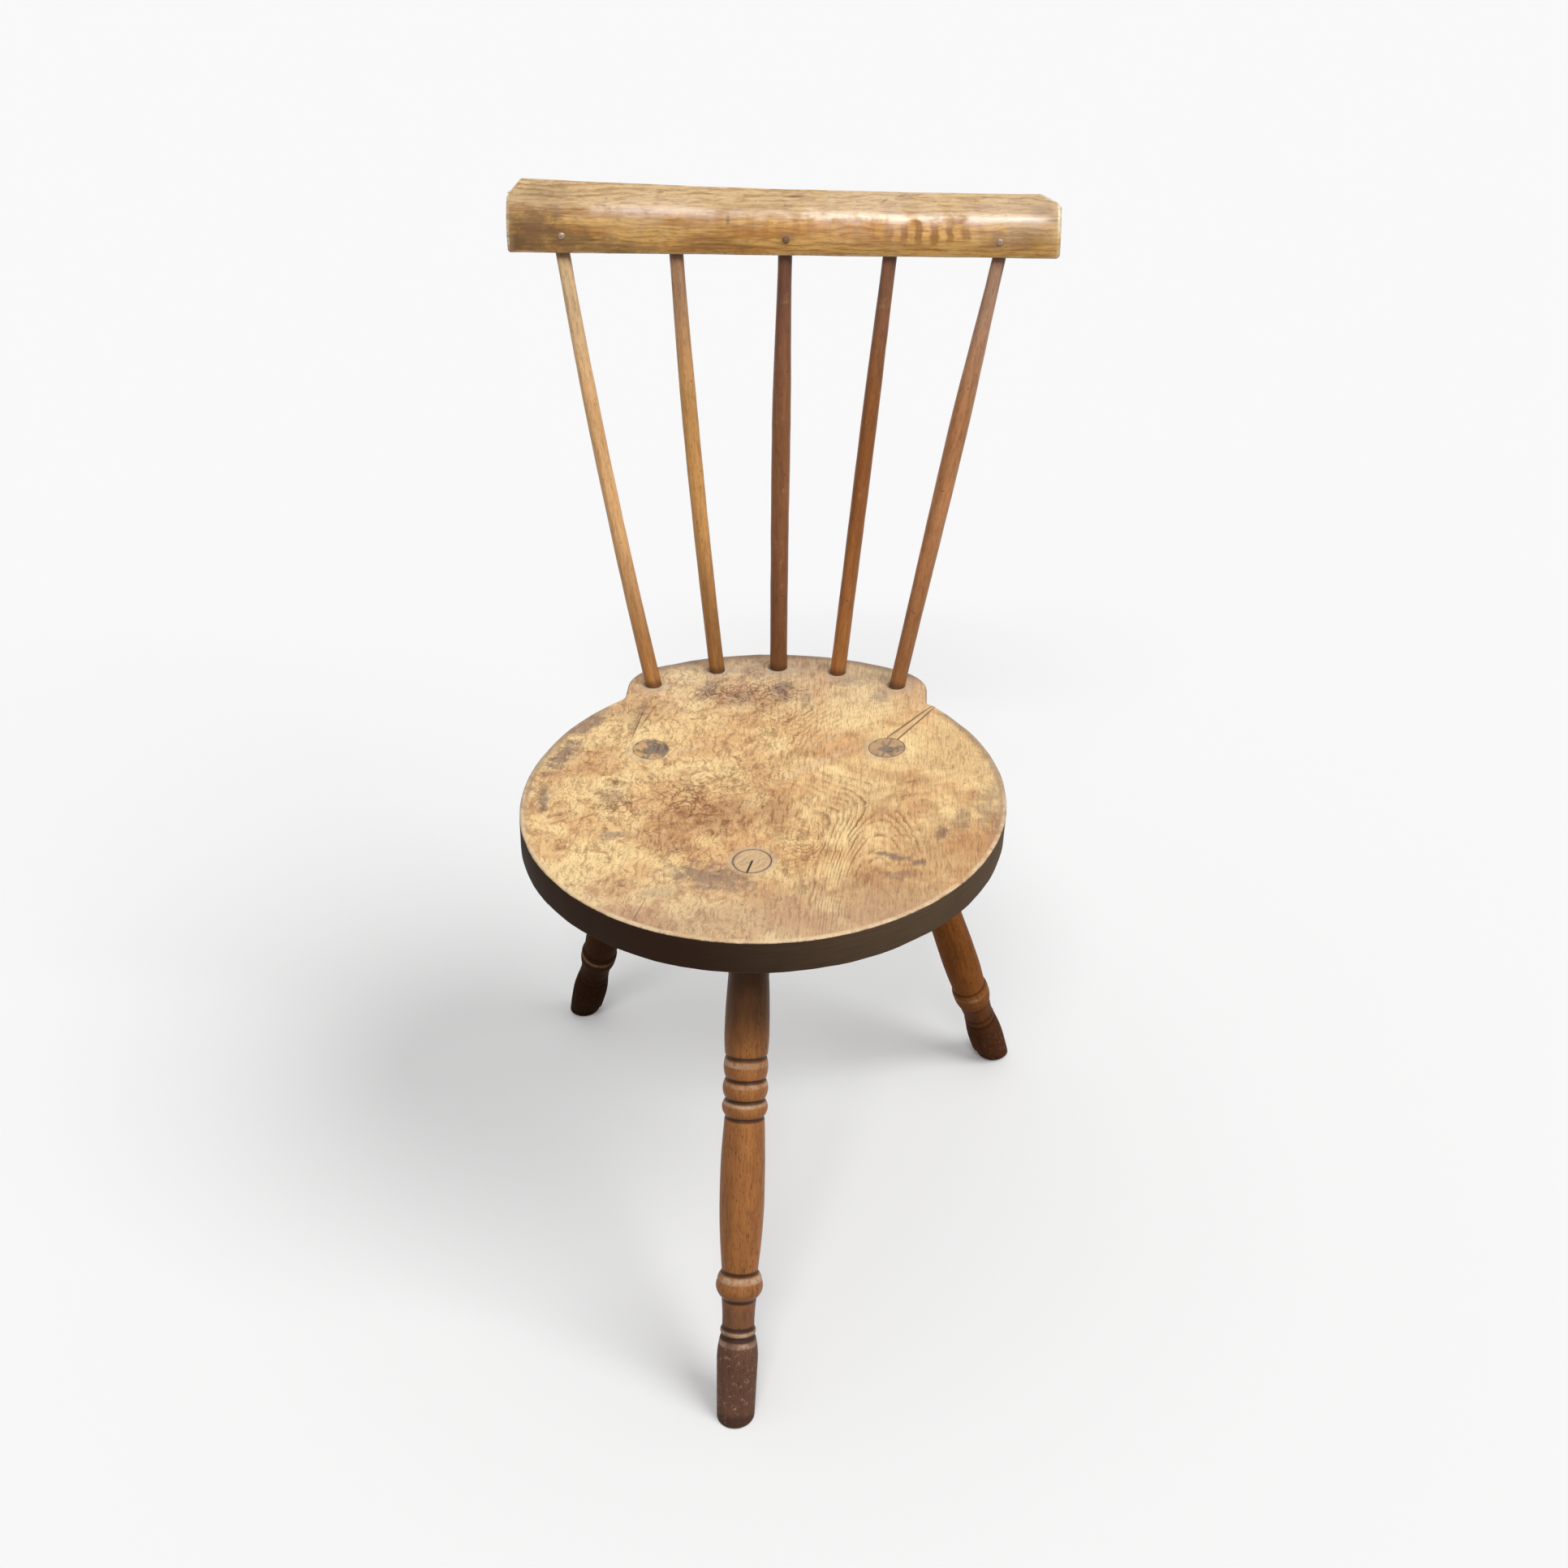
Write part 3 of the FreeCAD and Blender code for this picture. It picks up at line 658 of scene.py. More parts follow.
class Nodes:
    """Adds nodes to one tree; any input takes a value or another node's output."""

    def __init__(self, tree):
        self.tree = tree

    def feed(self, socket, value):
        if isinstance(value, bpy.types.NodeSocket):
            self.tree.links.new(value, socket)
        elif socket.type == "RGBA" and len(value) == 3:
            socket.default_value = (*value, 1)
        else:
            socket.default_value = value

    def add(self, kind, inputs=None, **choices):
        node = self.tree.nodes.new(kind)
        for name, value in choices.items():
            setattr(node, name, value)
        for name, value in (inputs or {}).items():
            self.feed(node.inputs[name], value)
        return node

    def math(self, operation, *values, clamp=False):
        node = self.add("ShaderNodeMath", dict(enumerate(values)), operation=operation, use_clamp=clamp)
        return node.outputs[0]

    def chain(self, operation, total, *values):
        """One operation from value to value."""
        for value in values:
            total = self.math(operation, total, value)
        return total

    def plus(self, *values):
        """The sum of some values; a tuple among them stands for its product."""
        return self.chain("ADD", *(self.product(value) for value in values))

    def times(self, *values):
        return self.chain("MULTIPLY", *values)

    def product(self, value):
        """The product of a tuple of values, or a single value as it is."""
        return self.times(*value) if isinstance(value, tuple) else value

    def most(self, *values):
        return self.chain("MAXIMUM", *values)

    def less(self, value):
        """One less a value."""
        return self.math("SUBTRACT", 1.0, value, clamp=True)

    def size(self, value):
        """A value without its sign."""
        return self.math("ABSOLUTE", value)

    def centred(self, noise):
        """A noise shifted so that its values lie round nought."""
        return self.plus(noise, -0.5)

    def hypot(self, x, y):
        return self.math("SQRT", self.plus((x, x), (y, y)))

    def vector(self, operation, *values):
        return self.add("ShaderNodeVectorMath", dict(enumerate(values)), operation=operation)

    def split(self, vector):
        return self.add("ShaderNodeSeparateXYZ", {0: vector}).outputs[:]

    def join(self, x, y, z):
        return self.add("ShaderNodeCombineXYZ", {0: x, 1: y, 2: z}).outputs[0]

    def far(self, where, centre):
        """How far a place is from a point in the same plane."""
        away = self.vector("SUBTRACT", where, (*centre, 0)).outputs[0]
        return self.vector("LENGTH", away).outputs["Value"]

    def ramp(self, value, start, end):
        """Nought at the start, one at the end, and smooth between."""
        inputs = {"Value": value, "From Min": start, "From Max": end}
        return self.add("ShaderNodeMapRange", inputs, interpolation_type="SMOOTHSTEP").outputs[0]

    def noise(self, vector, scale, detail=2.0, roughness=0.5, distortion=0.0):
        """Soft noise; a scale of three numbers stretches it along the axes."""
        if isinstance(scale, tuple):
            vector, scale = self.vector("MULTIPLY", vector, scale).outputs[0], 1.0
        inputs = {
            "Vector": vector,
            "Scale": scale,
            "Detail": detail,
            "Roughness": roughness,
            "Distortion": distortion,
        }
        return self.add("ShaderNodeTexNoise", inputs).outputs[0]

    def mix(self, share, first, second, blend="MIX"):
        node = self.add("ShaderNodeMix", data_type="RGBA", blend_type=blend)
        self.feed(node.inputs[0], share)
        self.feed(node.inputs[6], first)
        self.feed(node.inputs[7], second)
        return node.outputs[2]

    def lay(self, colour, over, *layers):
        """A colour with another laid over it once for each layer; a tuple stands for its product."""
        for layer in layers:
            colour = self.mix(self.product(layer), colour, over)
        return colour

    def shade(self, colour, *amounts):
        """A colour made darker or lighter by the sum of some amounts."""
        amount = self.plus(*amounts)
        return self.mix(1.0, colour, self.join(amount, amount, amount), "MULTIPLY")

    def deepen(self, colour, power, middle):
        """A colour with its contrast raised by a power, round a middle colour that stays as it is."""
        raised = self.add("ShaderNodeGamma", {"Color": colour, "Gamma": power}).outputs[0]
        back = [value ** (1 - power) for value in middle]
        return self.mix(1.0, raised, back, "MULTIPLY")

    def effect(self, name, **inputs):
        """The outputs of a shared effect with its own values."""
        node = self.add("ShaderNodeGroup", node_tree=bpy.data.node_groups[name])
        for label, value in inputs.items():
            self.feed(node.inputs[label], value)
        return node.outputs


def shared_effect(name, takes, gives):
    """Starts a node group and returns its nodes, its inputs and its output node."""
    group = bpy.data.node_groups.new(name, "ShaderNodeTree")
    for label, kind in takes.items():
        group.interface.new_socket(name=label, in_out="INPUT", socket_type=f"NodeSocket{kind}")
    for label in gives:
        group.interface.new_socket(name=label, in_out="OUTPUT", socket_type="NodeSocketFloat")
    nodes = Nodes(group)
    return nodes, nodes.add("NodeGroupInput").outputs, nodes.add("NodeGroupOutput")


def soft_spot_effect():
    """A soft patch: one in the middle, falling to nothing at its reach."""
    takes = {"Vector": "Vector", "Centre": "Vector", "Reach": "Vector", "Turn": "Float", "Ragged": "Float"}
    nodes, given, out = shared_effect("Soft Spot", takes, ("Mask",))
    away = nodes.vector("SUBTRACT", given["Vector"], given["Centre"]).outputs[0]
    inputs = {"Vector": away, "Angle": given["Turn"]}
    turned = nodes.add("ShaderNodeVectorRotate", inputs, rotation_type="Z_AXIS", invert=True).outputs[0]
    measured = nodes.vector("DIVIDE", turned, given["Reach"]).outputs[0]
    far = nodes.vector("LENGTH", measured).outputs["Value"]
    nodes.feed(out.inputs["Mask"], nodes.ramp(nodes.plus(far, given["Ragged"]), 1.0, 0.2))


def wood_grain_effect():
    """Growth lines, fibre, pores and dashes of wood, measured in millimetres; the lines follow the figure."""
    takes = {name: "Float" for name in ("Figure", "Across", "Depth", "Along", "Gap", "Waver")}
    nodes, given, out = shared_effect("Wood Grain", takes, ("Lines", "Fibre", "Pores", "Dashes"))
    across, depth, along = (given[name] for name in ("Across", "Depth", "Along"))

    def stretched(cross, lengthwise):
        sides = nodes.times(across, cross), nodes.times(depth, cross)
        return nodes.join(*sides, nodes.times(along, lengthwise))

    sway = nodes.times(nodes.centred(nodes.noise(stretched(0.05, 0.02), 1.0)), given["Waver"])
    count = nodes.plus(nodes.math("DIVIDE", given["Figure"], given["Gap"]), (depth, 0.02), sway)
    part = nodes.math("FRACT", count)
    line = nodes.times(nodes.ramp(part, 0.35, 0.86), nodes.ramp(part, 1.0, 0.9))
    which = nodes.add("ShaderNodeTexWhiteNoise", {"W": nodes.math("FLOOR", count)}, noise_dimensions="1D")
    strength = nodes.plus(0.35, (which.outputs["Value"], 0.65))
    broken = nodes.ramp(nodes.noise(stretched(0.16, 0.035), 1.0), 0.32, 0.56)
    pores = nodes.noise(stretched(1.7, 0.17), 1.0, 1.0)
    dashes = nodes.noise(stretched(0.38, 0.06), 1.0, 2.0, 0.6)
    nodes.feed(out.inputs["Lines"], nodes.times(line, strength, broken))
    nodes.feed(out.inputs["Fibre"], nodes.noise(stretched(1.3, 0.07), 1.0, 3.0, 0.6))
    nodes.feed(out.inputs["Pores"], nodes.ramp(pores, 0.6, 0.72))
    nodes.feed(out.inputs["Dashes"], nodes.ramp(dashes, 0.52, 0.62))


def old_polish_effect():
    """Smudges and specks of an old waxed surface; the place is in millimetres."""
    nodes, given, out = shared_effect("Old Polish", {"Vector": "Vector"}, ("Smudges", "Specks"))
    place = given["Vector"]
    cells = nodes.add("ShaderNodeTexVoronoi", {"Vector": place, "Scale": 0.16, "Randomness": 1.0})
    few = nodes.ramp(nodes.noise(place, 0.09), 0.52, 0.66)
    specks = nodes.times(nodes.ramp(cells.outputs["Distance"], 0.16, 0.08), few)
    nodes.feed(out.inputs["Smudges"], nodes.noise(place, 0.05, 4.0, 0.6))
    nodes.feed(out.inputs["Specks"], specks)


def edge_wear_effect():
    """Where an arris is rubbed bare: patches that follow the given mask."""
    nodes, given, out = shared_effect("Edge Wear", {"Vector": "Vector", "Edge": "Float"}, ("Mask",))
    patches = nodes.ramp(nodes.noise(given["Vector"], 0.045, 3.0, 0.6), 0.36, 0.58)
    crumbs = nodes.ramp(nodes.noise(given["Vector"], 0.35), 0.3, 0.55)
    worn = nodes.times(nodes.plus((patches, 0.75), 0.25), nodes.plus((crumbs, 0.6), 0.4))
    nodes.feed(out.inputs["Mask"], nodes.times(given["Edge"], worn))


def make_effects():
    for effect in (soft_spot_effect, wood_grain_effect, old_polish_effect, edge_wear_effect):
        effect()


class Finish(Nodes):
    """A material whose nodes read Object coordinates in millimetres, along the axes of a place."""

    def __init__(self, name, place=CHAIR_AXES, specular=0.5):
        self.material = bpy.data.materials.new(name)
        self.material.use_nodes = True
        super().__init__(self.material.node_tree)
        self.shader = self.tree.nodes["Principled BSDF"]
        self.shader.inputs["Specular IOR Level"].default_value = specular
        source = self.add("ShaderNodeTexCoord")
        self.normal = source.outputs["Normal"]
        inputs = {
            "Vector": source.outputs["Object"],
            "Location": place.translation,
            "Rotation": place.to_euler(),
            "Scale": (MM, MM, MM),
        }
        self.place = self.add("ShaderNodeMapping", inputs, vector_type="TEXTURE").outputs[0]

    def done(self, colour, roughness, height, relief):
        """Feeds the shader; the height is in tenths of a millimetre."""
        self.feed(self.shader.inputs["Base Color"], colour)
        self.feed(self.shader.inputs["Roughness"], roughness)
        bump = self.add("ShaderNodeBump", {"Strength": relief, "Distance": 0.1 * MM, "Height": height})
        self.feed(self.shader.inputs["Normal"], bump.outputs[0])
        return self.material


class Patch(NamedTuple):
    """A soft patch on a flat of the wood: middle and half sizes in millimetres, turn in degrees, amount."""

    x: float
    y: float
    across: float
    along: float
    turn: float = 0.0
    amount: float = 1.0


# Hills that the growth lines of the seat run round
FIGURE = (
    Patch(90, -170, 50, 212, 0, 40),
    Patch(36, -57, 19, 30, 8, -14),
    Patch(80, 70, 130, 100, 25, 26),
    Patch(-20, 158, 40, 30, 0, -16),
    Patch(-60, -5, 46, 50, 20, 22),
    Patch(-112, -22, 30, 40, 0, -18),
    Patch(-70, -112, 52, 42, -20, 16),
    Patch(-130, 70, 44, 66, 0, 14),
)
# Where the growth lines show
LINED = (
    Patch(68, -70, 60, 120, 0, 1.0),
    Patch(108, -30, 50, 70, 0, 0.7),
    Patch(14, 104, 46, 60, -24, 0.9),
    Patch(54, -145, 46, 56, 0, 0.9),
)
HONEY_PATCHES = (
    Patch(-118, -90, 62, 50, 20),
    Patch(-100, 84, 44, 66, -8),
    Patch(-36, -158, 30, 38),
    Patch(66, 130, 46, 44),
    Patch(-150, -5, 34, 40, 0, 0.7),
    Patch(140, 70, 56, 76, 20, 0.8),
    Patch(-42, 30, 34, 30, 0, 0.6),
    Patch(80, 20, 50, 50, 0, 0.8),
    Patch(-70, -126, 22, 30, 0, 0.7),
)
# Narrow pale bands that the wear has left
BANDS = (
    Patch(38, 46, 60, 5.5, 41, 0.45),
    Patch(-61, 68, 30, 5, 33, 0.4),
    Patch(52, 92, 34, 4, 52, 0.3),
)
BROWN_PATCHES = (
    Patch(-36, -34, 66, 36, 8, 0.85),
    Patch(-70, -70, 44, 22, -18, 0.7),
    Patch(12, -24, 26, 44, 0, 0.9),
    Patch(-64, 6, 26, 20, 0, 0.35),
    Patch(150, -75, 70, 100, -20, 0.7),
    Patch(105, -130, 80, 66, 20, 0.9),
    Patch(10, -168, 150, 30, 0, 0.6),
    Patch(30, -140, 70, 34, 12, 0.5),
    Patch(-66, -172, 50, 18, -22, 0.9),
    Patch(-30, 150, 60, 30, 0, 0.4),
    Patch(108, 28, 60, 16, -10, 0.5),
    Patch(80, -10, 60, 50, 0, 0.35),
    Patch(60, 66, 40, 16, 41, 0.4),
    Patch(20, 56, 50, 14, 41, 0.4),
    Patch(-150, 40, 30, 60, -14, 0.3),
    Patch(-110, 120, 40, 30, 0, 0.4),
    Patch(150, 70, 40, 60, 10, 0.3),
)
STAINS = (
    Patch(-30, -114, 46, 22, -14, 0.85),
    Patch(-66, -134, 26, 12, 20, 0.4),
    Patch(4, 166, 13, 30, 4, 0.95),
    Patch(-58, 162, 13, 26, -8, 0.75),
    Patch(-30, 150, 16, 18, 0, 0.6),
    Patch(106, -82, 22, 5, -18, 0.95),
    Patch(121, -88, 8, 6, 30, 0.95),
    Patch(108, -106, 14, 9, 0, 0.55),
    Patch(140, -48, 8, 12, 0, 0.75),
    Patch(-167, 50, 12, 42, -14, 0.9),
    Patch(-152, 100, 12, 36, -34, 0.85),
    Patch(-172, -12, 8, 26, 6, 0.85),
    Patch(-112, -62, 15, 9, 10, 0.7),
    Patch(-118, -8, 16, 22, 0, 0.5),
    Patch(60, 182, 24, 16, 0, 0.65),
    Patch(88, 158, 12, 24, -6, 0.6),
    Patch(176, -10, 14, 44, 0, 0.5),
    Patch(155, -30, 10, 20, 0, 0.5),
    Patch(25, 150, 9, 24, 12, 0.6),
    Patch(-112, 120, 7, 44, -8, 0.5),
    Patch(-20, 200, 110, 26, 0, 0.5),
    Patch(96, 190, 40, 24, -30, 0.45),
)
# Curly burr, and cracks and open joints that show as thin dark lines
CURLS = (
    Patch(-20, 158, 66, 30, 0, 1.0),
    Patch(-62, -10, 40, 44, 0, 0.9),
    Patch(-108, -24, 24, 30, 0, 0.8),
    Patch(30, -74, 34, 46, 0, 0.5),
    Patch(-10, 20, 60, 40, 0, 0.4),
)
CRACKS = (
    Patch(-79, -160, 0.9, 28, -12, 0.6),
    Patch(-112, 104, 1.0, 40, -5, 0.6),
    Patch(-105, 116, 1.0, 36, -13, 0.45),
    Patch(2, -188, 1.0, 5, 0, 0.6),
)


# Colours round which the contrast of the seat and the crest rail is raised
SEAT_MIDDLE_TONE = linear(222, 180, 132)
CREST_MIDDLE_TONE = linear(206, 164, 104)


def patch_masks(nodes, where, patches, ragged=0.0):
    """A soft mask for each of some patches."""
    masks = []
    for patch in patches:
        mask = nodes.effect(
            "Soft Spot",
            Vector=where,
            Centre=(patch.x, patch.y, 0),
            Reach=(patch.across, patch.along, 1),
            Turn=math.radians(patch.turn),
            Ragged=ragged,
        )[0]
        masks.append(nodes.times(mask, patch.amount))
    return masks


def placed(nodes, where, patches, ragged=0.0):
    """The strongest of some soft patches at each place."""
    return nodes.most(*patch_masks(nodes, where, patches, ragged))


def elm_finish():
    """Old waxed elm: growth lines, burr, honey and brown patches, grey stains, a dirty sawn edge painted
    lighter on the right as painted light, a painted sheen at the front and painted shade on the rounded rim.
    """
    colours = settings().seat
    finish = Finish("seat_elm", specular=0.15)
    x, y, z = finish.split(finish.place)
    up = finish.split(finish.normal)[2]
    flat = finish.join(x, y, 0.0)
    broad = finish.noise(flat, 0.02, 3.0, 0.55)
    burr = finish.centred(finish.noise(flat, 0.06, 4.0, 0.6, 0.6))
    crumbs = finish.centred(finish.noise(flat, 0.12, 4.0, 0.7))
    left = finish.ramp(x, 45, -30)
    swirl = finish.times(burr, finish.plus(4.0, (left, 40.0)))
    lines, fibre, pores, dashes = finish.effect(
        "Wood Grain",
        Figure=finish.plus((x, 0.16), *patch_masks(finish, flat, FIGURE), swirl),
        Across=finish.plus(x, (swirl, 0.4)),
        Depth=z,
        Along=y,
        Gap=3.3,
        Waver=0.5,
    )
    smudges, specks = finish.effect("Old Polish", Vector=finish.place)
    ragged = finish.times(burr, 1.6)

    # Patches of the top
    honey = placed(finish, flat, HONEY_PATCHES, ragged)
    brown = placed(finish, flat, BROWN_PATCHES, ragged)
    stain = placed(finish, flat, STAINS, finish.times(crumbs, 2.4))
    top = finish.lay(colours.amber, colours.honey, finish.ramp(broad, 0.36, 0.66))
    top = finish.lay(top, colours.honey, (honey, 0.85))
    top = finish.lay(top, colours.brown, (brown, 0.7))
    mottle = finish.ramp(finish.noise(flat, 0.05, 7.0, 0.72, 0.8), 0.48, 0.64)
    top = finish.lay(top, colours.brown, (mottle, finish.plus(0.3, (left, 0.3))))
    knots = finish.ramp(finish.noise(flat, 0.075, 6.0, 0.75, 1.6), 0.54, 0.66)
    open_left = finish.times(left, finish.plus(1.0, (honey, -0.5)))
    top = finish.lay(top, colours.umber, (knots, finish.plus(0.1, (open_left, 0.55))))
    top = finish.lay(top, colours.worn, placed(finish, flat, BANDS, finish.times(crumbs, 0.9)))
    top = finish.lay(top, colours.stain, (stain, 0.8))
    back = finish.ramp(y, 95, 190)
    top = finish.lay(top, colours.halo, (back, 0.3))

    # Grain of the top
    lined = placed(finish, flat, LINED, ragged)
    top = finish.lay(top, colours.umber, (lines, finish.plus(0.1, (lined, 0.7))))
    calm = finish.plus(1.0, (finish.ramp(x, 20, 100), -0.45))
    top = finish.lay(top, colours.umber, (dashes, calm, finish.plus(0.32, (brown, 0.2))))
    squiggle = finish.size(finish.centred(finish.noise(flat, 0.13, 1.0, 0.5, 0.4)))
    curls = finish.times(finish.ramp(squiggle, 0.07, 0.02), placed(finish, flat, CURLS, ragged))
    top = finish.lay(top, colours.umber, (curls, 0.7))
    top = finish.shade(top, 0.7, (fibre, 0.66))
    top = finish.lay(top, colours.umber, (pores, 0.4), (specks, 0.6))
    cracks = placed(finish, flat, CRACKS, finish.times(crumbs, 0.8))
    top = finish.lay(top, colours.edge, cracks)
    top = finish.deepen(top, 1.2, SEAT_MIDDLE_TONE)

    # Joints and rim
    uneven = finish.times(crumbs, 9.0)
    halo, grime, seam = joint_marks(finish, flat, uneven)
    top = finish.lay(top, colours.halo, (halo, 0.6))
    top = finish.lay(top, colours.edge, (grime, 0.75))
    top = finish.lay(top, colours.umber, (seam, 0.8))
    # Painted sheen: the front of the top is painted paler with the halo colour, for the gloss towards the
    # front edge
    painted_front_sheen = finish.ramp(y, -90, -170)
    top = finish.lay(top, colours.halo, (painted_front_sheen, 0.3))
    band, border = rim_marks(finish, x, y, uneven)
    top = finish.lay(top, colours.stain, (border, 0.7))
    front = finish.ramp(y, 70, -60)
    # Painted shade: the rounding of the rim is painted dark brown where it tilts from the top, except at the
    # front
    arris = finish.times(finish.ramp(up, 0.98, 0.85), finish.less(front), 0.7)
    top = finish.lay(top, finish.shade(colours.brown, 0.55), arris)

    # Sawn edge, underside and what is rubbed bare
    streaks = finish.noise(finish.place, (0.03, 0.03, 0.5), 4.0, 0.65)
    # Painted light: the sawn edge is painted lighter towards the right, the side the light falls on
    sunny = finish.ramp(x, -60, 130)
    side = finish.lay(colours.edge, colours.edge_right, sunny)
    side = finish.shade(side, 0.45, (streaks, 0.7), (smudges, 0.4))
    under = finish.shade(colours.under, 0.55, (fibre, 0.5), (smudges, 0.5), (lines, -0.3), (dashes, -0.25))
    colour = finish.lay(side, under, finish.ramp(up, -0.3, -0.7))
    colour = finish.lay(colour, top, finish.ramp(up, 0.35, 0.8))
    rubbed = finish.effect("Edge Wear", Vector=finish.place, Edge=band)[0]
    worn = finish.times(rubbed, finish.plus(0.15, (front, 0.85)), finish.ramp(up, 0.2, 0.45))
    colour = finish.lay(colour, colours.worn, worn)
    dull = finish.ramp(up, 0.6, 0.2)
    roughness = finish.plus(0.36, (smudges, 0.12), (stain, 0.12), (dull, 0.35))
    height = finish.plus(
        (fibre, 1.2),
        (lines, -1.0),
        (dashes, -0.8),
        (pores, -1.4),
        (smudges, 2.0),
        (cracks, -4.0),
        (dull, streaks, 4.0),
    )
    return finish.done(colour, roughness, height, 0.35)


def joint_marks(finish, flat, ragged):
    """Pale halos and dark rings round the tenons and the spindles' feet, and the strip's two seams."""
    halos = []
    rings = []
    for leg in LEGS:
        edge = TENON_END.radius + 1.2
        across, along = leg.tenon
        shift = 3 * (1 - leg.scuffed)
        far = finish.plus(finish.far(flat, (across - shift, along - shift)), (ragged, 0.5))
        halos.append(finish.times(finish.ramp(far, edge + 5, edge + 2), 0.4 + 0.5 * leg.scuffed))
        far = finish.far(flat, leg.tenon)
        rings.append(finish.times(finish.ramp(far, edge + 1.0, edge - 0.2), 0.1 + 0.5 * leg.scuffed))
    for stick in STICKS:
        edge = stick.foot_radius
        across, along = stick.foot
        far = finish.plus(finish.far(flat, (across + 1.5, along - 4)), ragged)
        halos.append(finish.times(finish.ramp(far, edge + 7, edge + 1), 0.8))
        far = finish.far(flat, (across - 1.4, along + 0.6))
        rings.append(finish.times(finish.ramp(far, edge + 1.8, edge + 0.4), 0.7))
    strip = settings().strip
    inputs = {
        "Vector": flat,
        "Location": (strip.start_x / MM, strip.start_y / MM, 0),
        "Rotation": (0, 0, strip.turn),
    }
    along, aside, _ = finish.split(finish.add("ShaderNodeMapping", inputs, vector_type="TEXTURE").outputs[0])
    off = finish.size(finish.math("SUBTRACT", finish.size(aside), strip_half(finish, along)))
    seam = finish.times(finish.ramp(off, 1.3, 0.4), finish.ramp(along, 8, 12), finish.ramp(along, 68, 62))
    return finish.most(*halos), finish.most(*rings), seam


def strip_half(nodes, along):
    """Half the strip's width at a place along it, in millimetres."""
    strip = settings().strip
    taper = (strip.wide - strip.narrow) / strip.reach / 2
    return nodes.plus(strip.wide / 2 / MM, (along, -taper))


def rim_marks(finish, x, y, ragged):
    """A narrow band along the rim of the disc, and a wider ragged border that also goes round the tail."""
    seat = settings().seat
    middle, radius, tail = seat.middle / MM, seat.radius / MM, seat.tail_radius / MM
    stretch = finish.plus(1.0, (finish.ramp(y, middle, middle + 1), 1 / seat.back_stretch - 1))
    drawn = finish.times(finish.plus(y, -middle), stretch)
    disc = finish.hypot(x, drawn)
    on_disc = finish.ramp(y, 132, 126)
    band = finish.times(finish.ramp(disc, radius - 4.2, radius - 2.2), on_disc)
    near = finish.ramp(finish.plus(disc, ragged), radius - 9, radius - 2)
    near = finish.times(near, on_disc, finish.ramp(y, -110, 10))
    behind = finish.ramp(finish.plus(finish.hypot(x, y), ragged), tail - 12, tail - 3)
    behind = finish.times(behind, finish.ramp(y, 140, 150))
    return band, finish.most(near, behind)


def strip_finish():
    """The strip let into the seat: straight-grained wood along its length, dirty at its edges."""
    colours = settings().seat
    finish = Finish("strip_elm", strip_place())
    x, y, z = finish.split(finish.place)
    lines, fibre, pores, dashes = finish.effect(
        "Wood Grain", Figure=y, Across=y, Depth=z, Along=x, Gap=3.0, Waver=0.8
    )
    dirty = finish.ramp(finish.math("SUBTRACT", strip_half(finish, x), finish.size(y)), 1.3, 0.3)
    colour = finish.lay(colours.amber, colours.honey, finish.noise(finish.place, 0.08, 3.0))
    colour = finish.lay(colour, colours.umber, (lines, 0.5))
    colour = finish.shade(colour, 0.7, (fibre, 0.55))
    colour = finish.lay(colour, colours.umber, (dashes, 0.25), (dirty, 0.8), (pores, 0.4))
    up = finish.split(finish.normal)[2]
    colour = finish.lay(colour, colours.edge, finish.ramp(up, 0.8, 0.4))
    height = finish.plus((fibre, 1.2), (pores, -1.6))
    return finish.done(colour, finish.plus(0.38, (pores, 0.2)), height, 0.35)


# Stains and old marks on the front of the crest rail, along it and up it
CREST_STAINS = (
    Patch(-194, 18, 40, 24, 0, 0.85),
    Patch(-168, 10, 44, 15, 0, 0.75),
    Patch(-140, 4, 64, 12, 0, 0.6),
    Patch(-208, 10, 24, 16, 0, 0.9),
    Patch(-190, 46, 40, 10, 0, 0.4),
    Patch(-50, 8, 40, 9, 0, 0.35),
    Patch(197, 18, 26, 14, 0, 0.4),
    Patch(174, 14, 12, 11, 0, 0.5),
    Patch(206, 36, 14, 8, 0, 0.45),
    Patch(6, 14, 10, 6, 0, 0.5),
)
CREST_MARKS = (
    Patch(-40, 28, 2.2, 7, 0, 0.8),
    Patch(-52, 18, 10, 1.6, 0, 0.6),
    Patch(-117, 31, 6, 1.5, 0, 0.6),
    Patch(-95, 47, 5, 1.2, 4, 0.6),
    Patch(14, 45, 12, 1.2, 3, 0.9),
    Patch(8, 38, 7, 1.0, 0, 0.7),
    Patch(83, 42, 5, 1.5, 25, 0.7),
    Patch(97, 46, 7, 1.3, 15, 0.6),
    Patch(-7, 53, 2, 2.6, 0, 0.8),
    Patch(216, 29, 10, 0.9, 0, 1.0),
    Patch(-20, 24, 12, 1.0, 0, 0.45),
    Patch(40, 10, 14, 1.0, 0, 0.45),
)
# Where the polish is still bright
CREST_POLISH = (
    Patch(-97, 31, 84, 26, 0, 0.55),
    Patch(80, 31, 100, 30, 0, 0.9),
    Patch(180, 31, 70, 30, 0, 0.9),
    Patch(-10, 30, 90, 18, 0, 0.3),
)
# Where the cross figure shows, and where the front is palest
CREST_FIGURED = (Patch(118, 19, 64, 12), Patch(20, 22, 190, 14, 0, 0.25))
CREST_PALE = (Patch(75, 21, 170, 12, 0, 0.3),)
# Where the bars of the cross figure start, and how far apart they are
BARS_START = 86
BARS_GAP = 12.2


